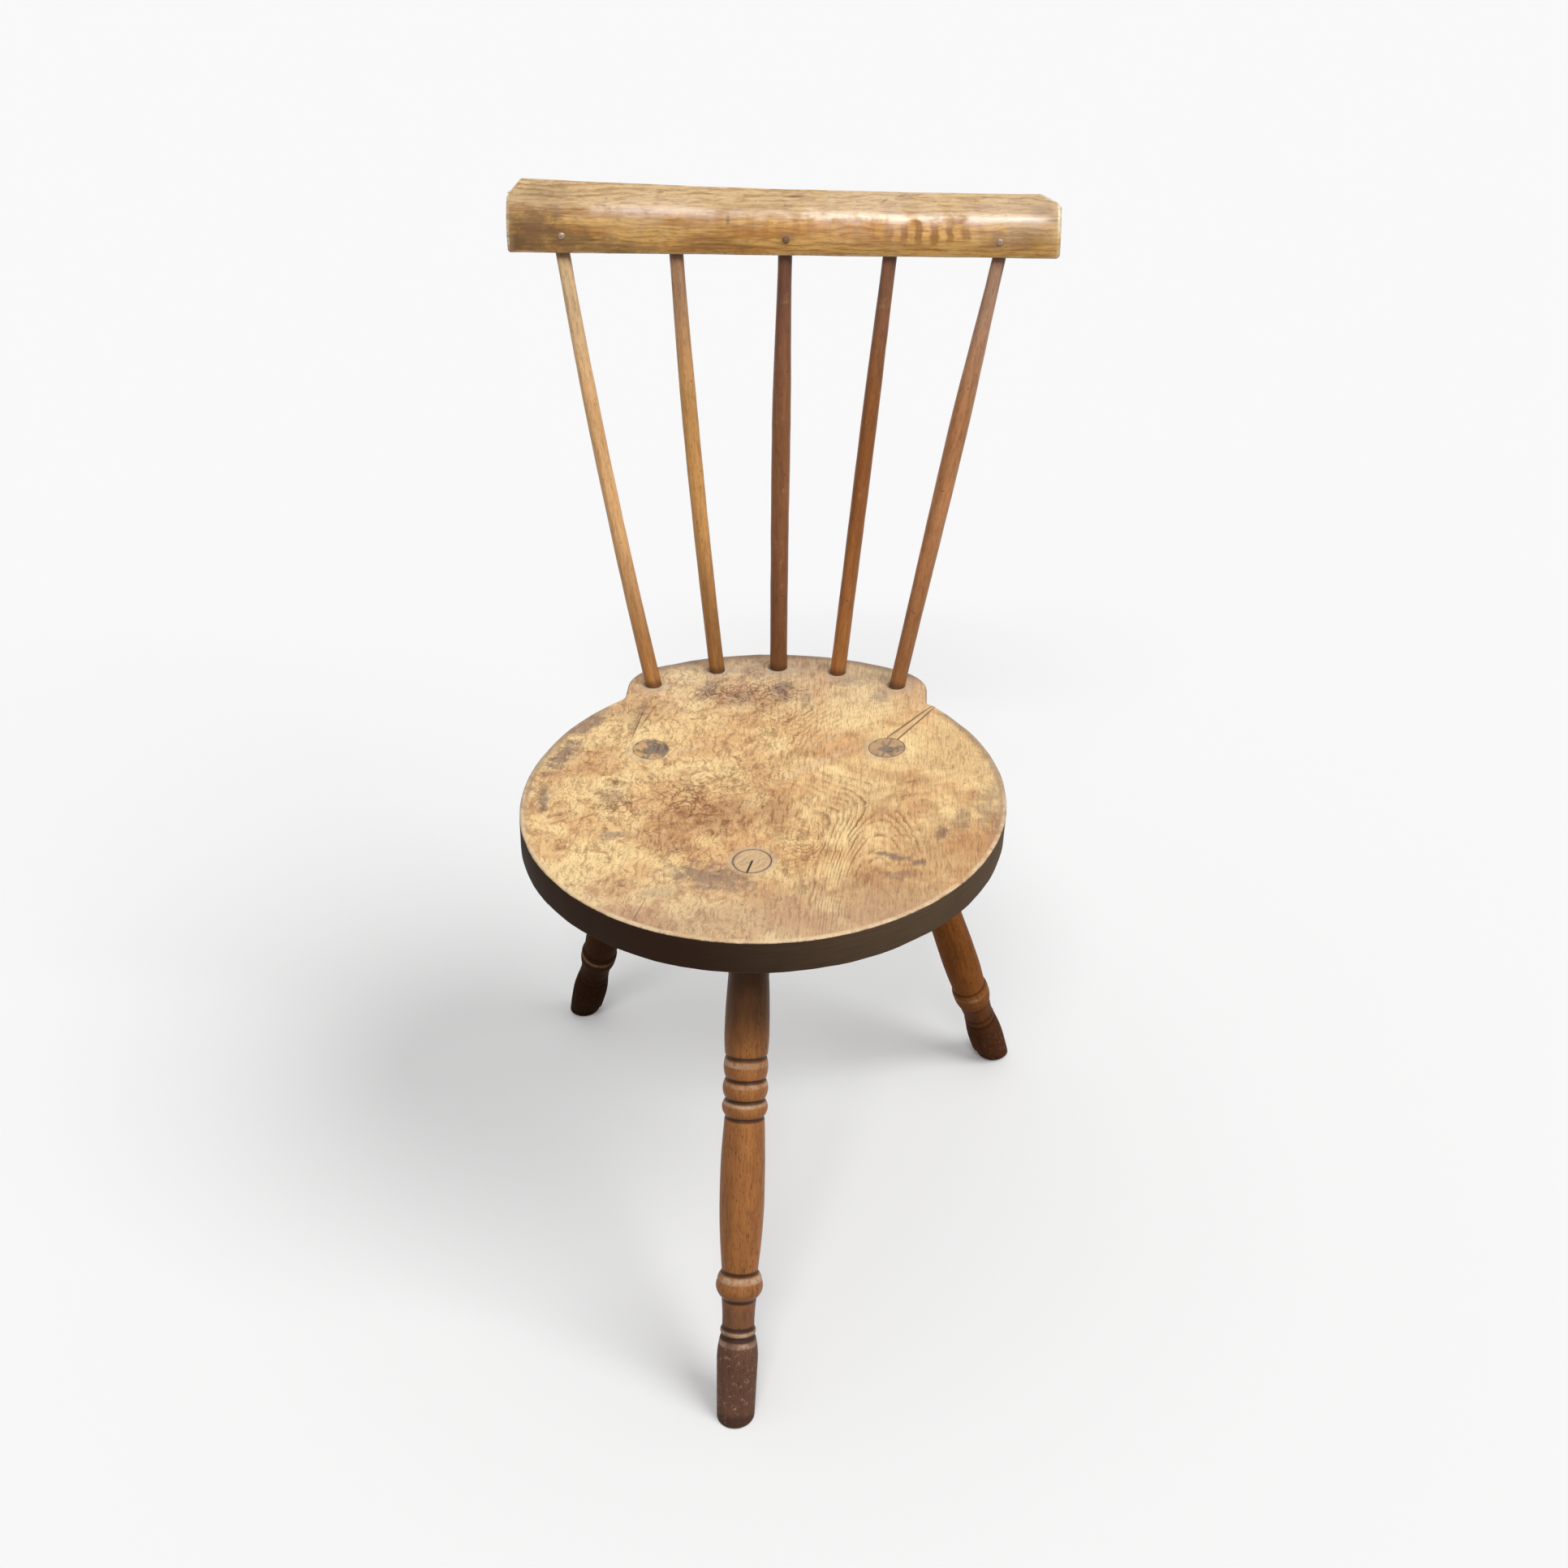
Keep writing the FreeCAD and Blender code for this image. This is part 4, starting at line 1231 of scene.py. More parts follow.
def crest_finish():
    """Old polished wood along the rail: streaks, a top painted paler as painted light, a band of cross
    figure, grey ends and rubbed arrises.
    """
    colours = settings().crest
    finish = Finish("crest_wood", crest_place(), specular=0.3)
    x, depth, up = finish.split(finish.place)
    front = finish.join(x, up, 0.0)
    streaks = finish.noise(finish.place, (0.012, 0.12, 0.14), 4.0, 0.6, 0.4)
    wander = finish.noise(finish.place, (0.02, 0.04, 0.05), 3.0)
    across = finish.plus(up, (wander, 9.0))
    lines, fibre, pores, dashes = finish.effect(
        "Wood Grain", Figure=across, Across=up, Depth=depth, Along=x, Gap=3.6, Waver=1.6
    )
    smudges, specks = finish.effect("Old Polish", Vector=finish.place)

    even = finish.plus(0.3, (finish.ramp(streaks, 0.36, 0.6), 0.7))
    colour = finish.lay(colours.toffee, colours.gold, even)
    # Painted light: the upper part of the rail is painted paler, where its rounded front turns up to the
    # light
    painted_top_light = finish.ramp(up, 26, 44)
    colour = finish.lay(colour, colours.straw, (painted_top_light, 0.8))
    sway = finish.times(finish.noise(front, (0.03, 0.08, 0)), 9.0)
    beat = finish.math("FRACT", finish.math("DIVIDE", finish.plus(x, sway, -BARS_START), BARS_GAP))
    bars = finish.times(finish.ramp(beat, 0.1, 0.35), finish.ramp(beat, 0.8, 0.6))
    figured = placed(finish, front, CREST_FIGURED)
    colour = finish.lay(colour, colours.bar, (bars, figured, 0.75), (lines, 0.45), (dashes, 0.3))
    colour = finish.shade(colour, 0.7, (fibre, 0.6))
    colour = finish.lay(colour, colours.bar, (pores, 0.45))
    colour = finish.deepen(colour, 1.25, CREST_MIDDLE_TONE)
    colour = finish.shade(colour, 0.88, placed(finish, front, CREST_PALE))

    ragged = finish.times(finish.centred(finish.noise(front, 0.1, 4.0, 0.65)), 1.8)
    stain = placed(finish, front, CREST_STAINS, ragged)
    colour = finish.lay(colour, colours.stain, (stain, 0.85))
    marks = placed(finish, front, CREST_MARKS, finish.times(ragged, 0.6))
    dark = finish.shade(colours.bar, 0.3, (smudges, 0.3))
    colour = finish.lay(colour, dark, (marks, 0.8), (specks, 0.5))
    side, back, _ = finish.split(finish.normal)
    endwards = finish.size(side)
    end_arris = finish.times(finish.ramp(endwards, 0.06, 0.25), finish.ramp(endwards, 0.995, 0.95))
    low_arris = finish.times(finish.ramp(up, 2.4, 0.8), 0.7)
    rubbed = finish.effect("Edge Wear", Vector=finish.place, Edge=finish.most(end_arris, low_arris))[0]
    colour = finish.lay(colour, colours.cream, rubbed)
    sawn = finish.shade(colours.straw, 0.55, (smudges, 0.7))
    colour = finish.lay(colour, sawn, finish.ramp(endwards, 0.95, 0.99))

    finish.shader.inputs["Coat Roughness"].default_value = 0.3
    finish.shader.inputs["Coat IOR"].default_value = 2.0
    bright = placed(finish, front, CREST_POLISH, finish.times(ragged, 0.7))
    coat = finish.times(bright, finish.ramp(smudges, 0.3, 0.5), finish.ramp(back, 0.1, -0.3))
    finish.feed(finish.shader.inputs["Coat Weight"], coat)
    roughness = finish.plus(0.34, (bright, -0.14), (smudges, 0.12), (stain, 0.08))
    planed = finish.noise(finish.place, (0.05, 0.06, 0.09), 1.0)
    height = finish.plus((fibre, 1.2), (pores, -1.2), (streaks, 1.5), (marks, -3.0), (planed, 40.0))
    return finish.done(colour, roughness, height, 0.4)


def stick_finish(stick):
    """Old polished wood along a spindle, with its own colours at the foot and the head."""
    colours = settings().sticks
    foot, head = stick_ends(stick)
    finish = Finish(f"{stick.name}_stick_wood", leaning(foot, head), specular=0.3)
    x, y, z = finish.split(finish.place)
    reach = (head - foot).length / MM
    lines, fibre, pores, dashes = finish.effect(
        "Wood Grain", Figure=x, Across=x, Depth=y, Along=z, Gap=3.4, Waver=1.4
    )
    smudges, specks = finish.effect("Old Polish", Vector=finish.place)
    streaks = finish.noise(finish.place, (0.16, 0.16, 0.012), 3.0, 0.55)
    colour = getattr(colours, stick.name)
    colour = finish.lay(colour, linear(*stick.low), finish.ramp(z, reach * 0.45, reach * 0.02))
    colour = finish.lay(colour, linear(*stick.top), finish.ramp(z, reach * 0.6, reach * 0.98))
    colour = finish.shade(colour, 0.55, (streaks, 0.9))
    colour = finish.lay(colour, colours.dark, (lines, 0.3), (dashes, 0.2))
    colour = finish.shade(colour, 0.75, (fibre, 0.5))
    colour = finish.lay(colour, colours.dark, (pores, 0.4), (specks, 0.7))
    pale = finish.times(finish.ramp(smudges, 0.55, 0.72), finish.ramp(fibre, 0.45, 0.65))
    colour = finish.lay(colour, colours.rubbed, (pale, 0.5))
    ends = finish.most(finish.ramp(z, 7, 0), finish.ramp(z, reach - 9, reach))
    colour = finish.lay(colour, colours.dark, (ends, 0.7))
    roughness = finish.plus(0.26, (smudges, 0.25))
    height = finish.plus((fibre, 1.5), (pores, -1.5), (streaks, 2.0))
    return finish.done(colour, roughness, height, 0.4)


# Heights up a leg, in millimetres, between which its finish changes
SEAT_SHADE = (280, 336)
ANKLE = (112, 84)
FOOT = (74, 62)
DULL_FOOT = (80, 50)
SCUFFED_FOOT = (66, 50)
FLOOR_DIRT = (8, 1)
TENON_TIP = (370, 400)
GROOVE_REACH = 2.6


def leg_finish(leg):
    """Old polished turning: dirt in the grooves, rubbed rings partly lit by a painted highlight, painted
    shade under the seat and on the left side, a scuffed foot and the tenon's end grain.
    """
    colours = settings().legs
    finish = Finish(f"{leg.name}_leg_wood", leg_place(leg), specular=0.15 * leg.scuffed)
    x, y, z = finish.split(finish.place)
    wander = finish.times(finish.noise(finish.place, (0.05, 0.05, 0.01)), 14.0)
    lines, fibre, pores, dashes = finish.effect(
        "Wood Grain", Figure=finish.plus(x, wander), Across=x, Depth=y, Along=z, Gap=4.6, Waver=1.2
    )
    smudges, specks = finish.effect("Old Polish", Vector=finish.place)
    streaks = finish.noise(finish.place, (0.09, 0.09, 0.014), 4.0, 0.6)

    colour = getattr(colours, leg.name)
    # Painted shade: the leg is darkened towards the seat, for the seat's shadow
    colour = finish.lay(colour, finish.shade(colour, 0.28), finish.ramp(z, *SEAT_SHADE))
    # Painted shade: the left side of the leg, away from the light, is painted darker
    painted_side_shade = finish.times(finish.ramp(x, 6, -13), 0.5 - 0.3 * leg.scuffed)
    colour = finish.lay(colour, finish.shade(colour, 0.25), painted_side_shade)
    foot = linear(*leg.foot)
    colour = finish.lay(colour, finish.lay(colour, foot, 0.7), finish.ramp(z, *ANKLE))
    colour = finish.lay(colour, foot, finish.ramp(z, *FOOT))
    colour = finish.shade(colour, 0.6, (streaks, 0.8))
    colour = finish.lay(colour, colours.grime, (lines, 0.3), (dashes, 0.2))
    colour = finish.shade(colour, 0.75, (fibre, 0.5))
    flecks = finish.noise(finish.place, (0.7, 0.7, 0.2))
    flecks = finish.times(finish.ramp(flecks, 0.6, 0.68), finish.ramp(smudges, 0.42, 0.58))
    colour = finish.lay(colour, colours.grime, (finish.most(flecks, pores), 0.55), (specks, 0.6))

    grooves = finish.most(*(nearly(finish, z, height, GROOVE_REACH) for height in leg.turning.grooves))
    # Edges of the rings, collar and beads are painted paler: partly wear, partly a painted highlight on the
    # upper edges that face the light
    edges = finish.most(*(nearly(finish, z, height, reach) for height, reach in leg.turning.edges))
    rubbed = finish.effect("Edge Wear", Vector=finish.place, Edge=edges)[0]
    colour = finish.lay(colour, colours.rubbed, (rubbed, 0.3 + 0.45 * leg.scuffed))
    colour = finish.lay(colour, colours.grime, (grooves, 0.45 + 0.4 * leg.scuffed))
    scuffs = finish.ramp(finish.noise(finish.place, 0.22, 4.0, 0.7), 0.54, 0.68)
    scuffs = finish.times(scuffs, finish.ramp(z, *SCUFFED_FOOT))
    colour = finish.lay(colour, colours.rubbed, (scuffs, 0.4 * leg.scuffed))
    colour = finish.lay(colour, colours.grime, (finish.ramp(z, *FLOOR_DIRT), 0.6))

    up = finish.split(finish.normal)[2]
    speckle = finish.noise(finish.place, 0.7, 3.0, 0.7)
    end = finish.times(finish.ramp(up, 0.75, 0.95), finish.ramp(z, *TENON_TIP))
    colour = finish.lay(colour, end_grain(finish, leg, x, y, speckle), end)
    sole = finish.ramp(up, -0.75, -0.95)
    colour = finish.lay(colour, finish.shade(foot, 0.3, (speckle, 0.6)), sole)
    low = finish.ramp(z, *DULL_FOOT)
    roughness = finish.plus(0.5 - 0.2 * leg.scuffed, (smudges, 0.22), (end, 0.15), (low, 0.18))
    height = finish.plus((fibre, 1.5), (flecks, -1.5), (scuffs, -1.5), (streaks, 2.0))
    return finish.done(colour, roughness, height, 0.4)


def end_grain(finish, leg, x, y, speckle):
    """The sawn end of a tenon: rings and specks, slanting gashes, the seat's colour and a dirty edge."""
    grime = settings().legs.grime
    out = finish.hypot(x, y)
    rings = finish.noise(finish.join(finish.times(out, 0.9), finish.times(y, 0.1), 0.0), 1.0)
    colour = finish.shade(linear(*leg.end), 0.35, (rings, 0.5), (speckle, 0.8))
    slant, cross = finish.plus(x, y), finish.math("SUBTRACT", x, y)
    slanting = finish.join(finish.times(slant, 0.2), finish.times(cross, 0.05), 0.0)
    gashes = finish.ramp(finish.noise(slanting, 1.0, 3.0, 0.6), 0.48, 0.68)
    colour = finish.lay(colour, grime, (gashes, 0.45 - 0.2 * leg.scuffed))
    frayed = finish.plus(finish.noise(finish.place, 0.09, 4.0, 0.65), (out, 0.014))
    frayed = finish.ramp(frayed, 0.56, 0.72)
    colour = finish.lay(colour, settings().seat.amber, (frayed, 0.85 - 0.7 * leg.scuffed))
    edge = finish.ramp(out, 12.6, 14.2)
    return finish.lay(colour, grime, (edge, 0.1 + 0.4 * leg.scuffed))


def nearly(nodes, value, target, reach):
    """One where a value meets its target, falling to nothing at its reach."""
    return nodes.ramp(nodes.size(nodes.plus(value, -target)), reach, reach * 0.3)


WEDGE_WOOD = linear(150, 112, 76)
WEDGE_DIRT = linear(52, 36, 26)


def wedge_finish(name, colour, dark=None):
    """Bare wood of a wedge, with short fibres, and dirty in front of a dark place if there is one."""
    finish = Finish(name)
    x, y, z = finish.split(finish.place)
    _, fibre, pores, _ = finish.effect("Wood Grain", Figure=x, Across=x, Depth=y, Along=z, Gap=1.6, Waver=0.8)
    grain = finish.noise(finish.place, 0.9, 3.0, 0.7)
    shade = finish.shade(colour, 0.4, (fibre, 0.5), (grain, 0.6))
    shade = finish.lay(shade, WEDGE_DIRT, (pores, 0.5))
    if dark is not None:
        shade = finish.lay(shade, WEDGE_DIRT, finish.ramp(y, dark + 1.5, dark - 1.5))
    return finish.done(shade, finish.plus(0.5, (grain, 0.2)), finish.times(grain, 2.0), 0.4)


def iron_finish(name, rusty):
    """Dull rubbed iron with rust in its hollows."""
    colours = settings().nails
    finish = Finish(name)
    grain = finish.noise(finish.place, 0.8, 4.0, 0.65)
    rust = finish.ramp(grain, 0.62 - 0.3 * rusty, 0.74 - 0.3 * rusty)
    colour = finish.lay(finish.shade(colours.iron, 0.7, (grain, 0.5)), colours.rust, rust)
    finish.feed(finish.shader.inputs["Metallic"], finish.times(finish.less(rust), 0.5))
    return finish.done(colour, finish.plus(0.34, (rust, 0.35)), finish.times(grain, 2.5), 0.5)


# The pieces

SEAT_SIDES = 240
TAIL_SIDES = 360
CORNER_SIDES = 96
CREST_SIDES = 128
CREST_SLICES = 32
# Roundings in millimetres: the hollow corners of the seat, and the rail's left end, right end and long edges
HOLLOW_ROUNDING = 4
LEFT_END_ROUNDING = 2.2
RIGHT_END_ROUNDING = 3
LONG_ROUNDING = 1
# Clearances in millimetres: round the spindles' heads, past their ends, and round the strip
HEAD_CLEARANCE = 0.25
END_CLEARANCE = 0.3
STRIP_CLEARANCE = 0.2


def plank_disc(name, sides, radius, x, y):
    """A round block as thick as the plank."""
    bpy.ops.mesh.primitive_cylinder_add(
        vertices=sides, radius=radius, depth=SEAT_THICK, location=(x, y, SEAT_LEVEL)
    )
    return named(name)


def seat_outline(name):
    """The plank before its sockets: a disc with a rounded tail, its sawn edge leaning to the left."""
    seat = settings().seat
    plank = plank_disc(name, SEAT_SIDES, seat.radius, 0, seat.middle)
    with editing(plank):
        choose("VERT", lambda vert: vert.co.y > seat.middle)
        bpy.ops.transform.resize(value=(1, seat.back_stretch, 1), center_override=(0, seat.middle, 0))
    carve(plank, seat_tail("seat_tail"), "UNION")
    with editing(plank):
        select_all()
        bpy.ops.mesh.dissolve_limited(angle_limit=FLAT_ANGLE)
        choose("EDGE", is_hollow_corner)
        round_over(HOLLOW_ROUNDING, segments=4)
        select_all()
        bpy.ops.mesh.remove_doubles(threshold=0.3 * MM)
        choose("VERT", lambda vert: vert.co.z < SEAT_LEVEL)
        bpy.ops.transform.translate(value=(-seat.drift, 0, 0))
    return plank


def is_hollow_corner(edge):
    """True for the upright edges where the tail leaves the disc."""
    low, high = sorted(vert.co.z for vert in edge.verts)
    upright = high - low > SEAT_THICK / 2
    return upright and edge.calc_face_angle(0) > math.radians(15) and not edge.is_convex


def seat_tail(name):
    """The tail: a skin drawn round a slice of a large disc and four small round blocks."""
    seat = settings().seat
    corner = seat.tail_corner
    blocks = []
    for side in (-seat.tail_left + corner, seat.tail_right - corner):
        back = math.sqrt((seat.tail_radius - corner) ** 2 - side ** 2)
        for y in (back, back - 2 * corner):
            blocks.append(plank_disc("tail_block", CORNER_SIDES, corner, side, y))
    tail = plank_disc(name, TAIL_SIDES, seat.tail_radius, 0, 0)
    reach = seat.tail_radius / (seat.tail_radius - corner)
    with editing(tail):
        saw(((seat.tail_right - corner) * reach, 0, 0), (1, 0, 0))
        saw(((corner - seat.tail_left) * reach, 0, 0), (-1, 0, 0))
        saw((0, seat.tail_radius * 0.7, 0), (0, -1, 0))
    take_up(tail, *blocks)
    bpy.ops.object.join()
    with editing(tail):
        select_all()
        bpy.ops.mesh.convex_hull()
        select_all()
        bpy.ops.mesh.dissolve_limited(angle_limit=FLAT_ANGLE)
        bpy.ops.mesh.normals_make_consistent(inside=False)
    return tail


def strip_prism(name, spare=0.0):
    """The tapered strip's prism, or with some spare the recess that it lies in."""
    strip = settings().strip
    deep = strip.depth + spare
    over = 1 * MM
    bpy.ops.mesh.primitive_cube_add(
        size=1,
        location=(strip.reach / 2, 0, (over - deep) / 2),
        scale=(strip.reach, strip.wide + 2 * spare, deep + over),
    )
    prism = named(name)
    with editing(prism):
        choose("FACE", lambda face: face.normal.x > 0.9)
        narrow = (strip.narrow + 2 * spare) / (strip.wide + 2 * spare)
        bpy.ops.transform.resize(value=(1, narrow, 1), center_override=(strip.reach, 0, 0))
    return set_at(prism, strip_place())


class CHAIR_OT_seat(bpy.types.Operator):
    """Saw out the plank seat, round its rim and bore its sockets"""

    bl_idname = "chair.seat"
    bl_label = "Seat"

    def execute(self, context):
        seat = settings().seat
        plank = seat_outline("plank_seat")
        ease(plank, seat.rim, 60, segments=3)
        with editing(plank):
            choose("FACE", lambda face: abs(face.normal.z) > 0.99)
            bpy.ops.mesh.inset(thickness=1.5 * MM, depth=0)
            choose("VERT", is_rim_vertex)
            bpy.ops.object.vertex_group_assign_new()
        group = plank.vertex_groups[-1].name
        roughen(plank, strength=1.1, grain=24, group=group)
        for leg in LEGS:
            carve(plank, leg_bore(leg, seat.joint_gap * (0.4 + 0.6 * leg.scuffed)))
        for stick in STICKS:
            wide = stick.foot_radius * MM + seat.joint_gap / 2
            ends = (-STICK_TAIL * MM, wide), (4 * MM, wide)
            carve(plank, tapered_tool(f"{stick.name}_socket", *ends, leaning(*stick_ends(stick))))
        carve(plank, strip_prism("strip_recess", STRIP_CLEARANCE * MM))
        finish_piece(plank, "seat", elm_finish())
        return {"FINISHED"}


def is_rim_vertex(vert):
    """True on the sawn edge and its rounding, but not on the flat faces."""
    return any(abs(face.normal.z) < 0.98 for face in vert.link_faces)


class CHAIR_OT_strip(bpy.types.Operator):
    """Let the tapered strip into the seat behind the rear right tenon"""

    bl_idname = "chair.strip"
    bl_label = "Seat Strip"

    def execute(self, context):
        strip = strip_prism("seat_strip")
        with editing(strip):
            saw((0, 0, SEAT_TOP), (0, 0, 1))
        carve(strip, leg_bore(STRIP_LEG, settings().seat.joint_gap))
        carve(strip, seat_outline("strip_trimmer"), "INTERSECT")
        ease(strip, 0.25 * MM, 40)
        finish_piece(strip, "seat_patch", strip_finish())
        return {"FINISHED"}


def crest_height(along):
    """Height of the rail at a place along it: a hollow through its heights at the ends and the middle."""
    crest = settings().crest
    places = (crest.left_end, crest.middle, crest.right_end)
    heights = (crest.left_height, crest.middle_height, crest.right_height)
    total = 0.0
    for place, height in zip(places, heights):
        share = 1.0
        for other in places:
            if other != place:
                share *= (along - other) / (place - other)
        total += share * height
    return total


def crest_bar(name):
    """The rail before its sockets: a log sawn flat behind, beneath and on top, its top corners cut off."""
    crest = settings().crest
    low = Vector((0, -crest.front, 0))
    high = Vector((0, crest.ridge, crest.middle_height))
    chord = high - low
    rise = math.sqrt(crest.front_curve ** 2 - (chord.length / 2) ** 2)
    inwards = Vector((0, chord.z, -chord.y)).normalized()
    heart = (low + high) / 2 + inwards * rise
    middle = (crest.left_end + crest.right_end) / 2
    bpy.ops.mesh.primitive_cylinder_add(
        vertices=CREST_SIDES,
        radius=crest.front_curve,
        depth=crest.right_end - crest.left_end,
        location=(middle, heart.y, heart.z),
        rotation=(0, math.pi / 2, 0),
    )
    bar = named(name)
    fall = Vector((0, crest.back_drop, crest.back - crest.ridge))
    run = crest.right_end - crest.left_end
    cuts = [crest.left_end + run * i / CREST_SLICES for i in range(CREST_SLICES + 1)]
    with editing(bar):
        saw((0, 0, 0), (0, 0, -1))
        saw((0, crest.back, 0), (0, 1, 0))
        saw(high, fall)
        select_all()
        bpy.ops.mesh.remove_doubles(threshold=1.3 * MM)
        for along in cuts[1:-1]:
            score((along, 0, 0), (1, 0, 0))
        for along in cuts:
            choose("VERT", lambda vert: abs(vert.co.x - along) < 0.1 * MM)
            taller = crest_height(along) / crest.middle_height
            bpy.ops.transform.resize(value=(1, 1, taller), center_override=(along, 0, 0))
        left = Vector((-crest.left_drop, 0, crest.left_run))
        saw((crest.left_end, 0, crest.left_height - crest.left_drop), left)
        right = Vector((crest.right_drop, 0, crest.right_run))
        saw((crest.right_end, 0, crest.right_height - crest.right_drop), right)
    return bar


def is_end_arris(edge, end):
    return all(abs(vert.co.x - end) < 0.1 * MM for vert in edge.verts)


def is_long_arris(edge):
    """True for the sharp edges that run along the rail, and round its sawn corners."""
    return edge.calc_face_angle(0) > math.radians(24)


class CHAIR_OT_crest(bpy.types.Operator):
    """Shape the half-round crest rail and bore it for the spindles and nails"""

    bl_idname = "chair.crest"
    bl_label = "Crest Rail"

    def execute(self, context):
        bar = crest_bar("crest_bar")
        crest = settings().crest
        with editing(bar):
            for end, radius in ((crest.left_end, LEFT_END_ROUNDING), (crest.right_end, RIGHT_END_ROUNDING)):
                choose("EDGE", lambda edge: is_end_arris(edge, end))
                round_over(radius, segments=3)
            choose("EDGE", is_long_arris)
            round_over(LONG_ROUNDING, segments=2)
        roughen(bar, strength=0.9, grain=40)
        set_at(bar, crest_place())
        for stick in STICKS:
            foot, head = stick_ends(stick)
            reach = (head - foot).length
            wide = (stick.neck_radius + HEAD_CLEARANCE) * MM
            ends = (reach - 8 * MM, wide), (reach + (STICK_HEAD + END_CLEARANCE) * MM, wide)
            carve(bar, tapered_tool(f"{stick.name}_head_socket", *ends, leaning(foot, head)))
        for nail in NAILS:
            carve(bar, nail_bore(nail))
        finish_piece(bar, "crest_rail", crest_finish())
        return {"FINISHED"}


def stick_rings(stick, reach):
    """Rings of a spindle: thickest above its middle, thinner to both ends, with a slight bow."""
    rings = [(0, -STICK_TAIL, stick.foot_radius)]
    for i in range(STICK_RINGS + 1):
        part = i / STICK_RINGS
        if part < STICK_SWELL_AT:
            share = part / STICK_SWELL_AT
            low, high = stick.foot_radius, stick.swell_radius
        else:
            share = (part - STICK_SWELL_AT) / (1 - STICK_SWELL_AT)
            low, high = stick.swell_radius, stick.neck_radius
        eased = share * share * (3 - 2 * share)
        rings.append((4 * stick.bow * part * (1 - part), part * reach, low + (high - low) * eased))
    rings.append((0, reach + STICK_HEAD, stick.neck_radius))
    return rings


class CHAIR_OT_sticks(bpy.types.Operator):
    """Shave the five spindles and set them in the seat and the crest rail"""

    bl_idname = "chair.sticks"
    bl_label = "Spindles"

    def execute(self, context):
        for stick in STICKS:
            foot, head = stick_ends(stick)
            piece = lathe(f"{stick.name}_stick", stick_rings(stick, (head - foot).length / MM), STICK_SIDES)
            # A spindle bows to the left, whichever way it leans.
            place = leaning(foot, head)
            aside = math.atan2(*(place.inverted().to_3x3() @ Vector((-1, 0, 0))).yx)
            set_at(piece, spun("Z", aside))
            roughen(piece, strength=0.5, grain=16)
            set_at(piece, place)
            with editing(piece):
                saw((0, 0, SEAT_UNDER), (0, 0, -1))
            carve(piece, stick_wedge_prism(stick, "kerf"))
            if stick.name in NAILED_STICKS:
                carve(piece, nail_bore(NAILED_STICKS[stick.name]))
            finish_piece(piece, f"{stick.name}_spindle", stick_finish(stick))
        return {"FINISHED"}


class CHAIR_OT_stick_wedges(bpy.types.Operator):
    """Drive a wedge into each spindle from beneath the seat"""

    bl_idname = "chair.stick_wedges"
    bl_label = "Spindle Wedges"

    def execute(self, context):
        finish = wedge_finish("stick_wedge_wood", WEDGE_WOOD)
        for stick in STICKS:
            piece = stick_wedge_prism(stick, f"{stick.name}_stick_wedge")
            with editing(piece):
                saw((0, 0, SEAT_UNDER), (0, 0, -1))
            ease(piece, 0.15 * MM, 30)
            finish_piece(piece, f"{stick.name}_spindle_wedge", finish)
        return {"FINISHED"}


def leg_rings(stations):
    """Rings of a turned leg, close together where its profile swells."""
    rings = []
    for low, high in zip(stations, stations[1:]):
        run = high.height - low.height
        count = max(6, round(run / 5)) if low.swell else 1
        for i in range(count):
            part = i / count
            swell = 4 * low.swell * part * (1 - part)
            radius = low.radius + (high.radius - low.radius) * part + swell
            rings.append((0, low.height + run * part, radius))
    rings.append((0, TENON_END.height, TENON_END.radius))
    return rings


def foot_mould(leg):
    """A bowl that stands on the floor under a leg: what lies inside it is left of the worn foot."""
    wide = leg.turning.stations[0].radius + 3
    steps = 5
    rings = [(0, 0, wide - leg.rounding)]
    for i in range(1, steps + 1):
        part = i / steps
        rise = leg.rounding * (1 - math.sqrt(1 - part * part))
        rings.append((0, rise, wide - leg.rounding * (1 - part)))
    # Above its rounding the bowl spreads past the whole leg.
    for rise, spread in ((leg.rounding * 1.4, 2.5), (leg.rounding * 2.2, 10), (60, 90), (500, 500)):
        rings.append((0, rise, wide + spread))
    foot, _ = leg_ends(leg)
    return set_at(lathe("foot_mould", rings, ROUND_SIDES), Matrix.Translation(foot))


class CHAIR_OT_legs(bpy.types.Operator):
    """Turn the three legs, saw them level at the floor and flush with the seat"""

    bl_idname = "chair.legs"
    bl_label = "Legs"

    def execute(self, context):
        patterns = {}
        for leg in LEGS:
            if leg.turning not in patterns:
                patterns[leg.turning] = lathe("leg_pattern", leg_rings(leg.turning.stations), ROUND_SIDES)
            piece = copy_of(patterns[leg.turning], f"{leg.name}_turned_leg")
            set_at(piece, leg_place(leg))
            roughen(piece, strength=0.5, grain=30)
            carve(piece, leg_wedge_prism(leg, "kerf"))
            with editing(piece):
                saw((0, 0, SEAT_TOP), (0, 0, 1))
            carve(piece, foot_mould(leg), "INTERSECT")
            finish_piece(piece, f"{leg.name}_leg", leg_finish(leg))
        for pattern in patterns.values():
            bpy.data.objects.remove(pattern)
        return {"FINISHED"}


class CHAIR_OT_leg_wedges(bpy.types.Operator):
    """Drive a wedge into each leg tenon, flush with the seat"""

    bl_idname = "chair.leg_wedges"
    bl_label = "Leg Wedges"

    def execute(self, context):
        for leg in LEGS:
            dark = leg.tenon[1] + 1 if leg.name == "front" else None
            finish = wedge_finish(f"{leg.name}_tenon_wedge_wood", linear(*leg.end), dark)
            piece = leg_wedge_prism(leg, f"{leg.name}_tenon_wedge")
            with editing(piece):
                saw((0, 0, SEAT_TOP), (0, 0, 1))
            carve(piece, leg_bore(leg, 0), "INTERSECT")
            ease(piece, 0.15 * MM, 40)
            finish_piece(piece, f"{leg.name}_leg_wedge", finish)
        return {"FINISHED"}


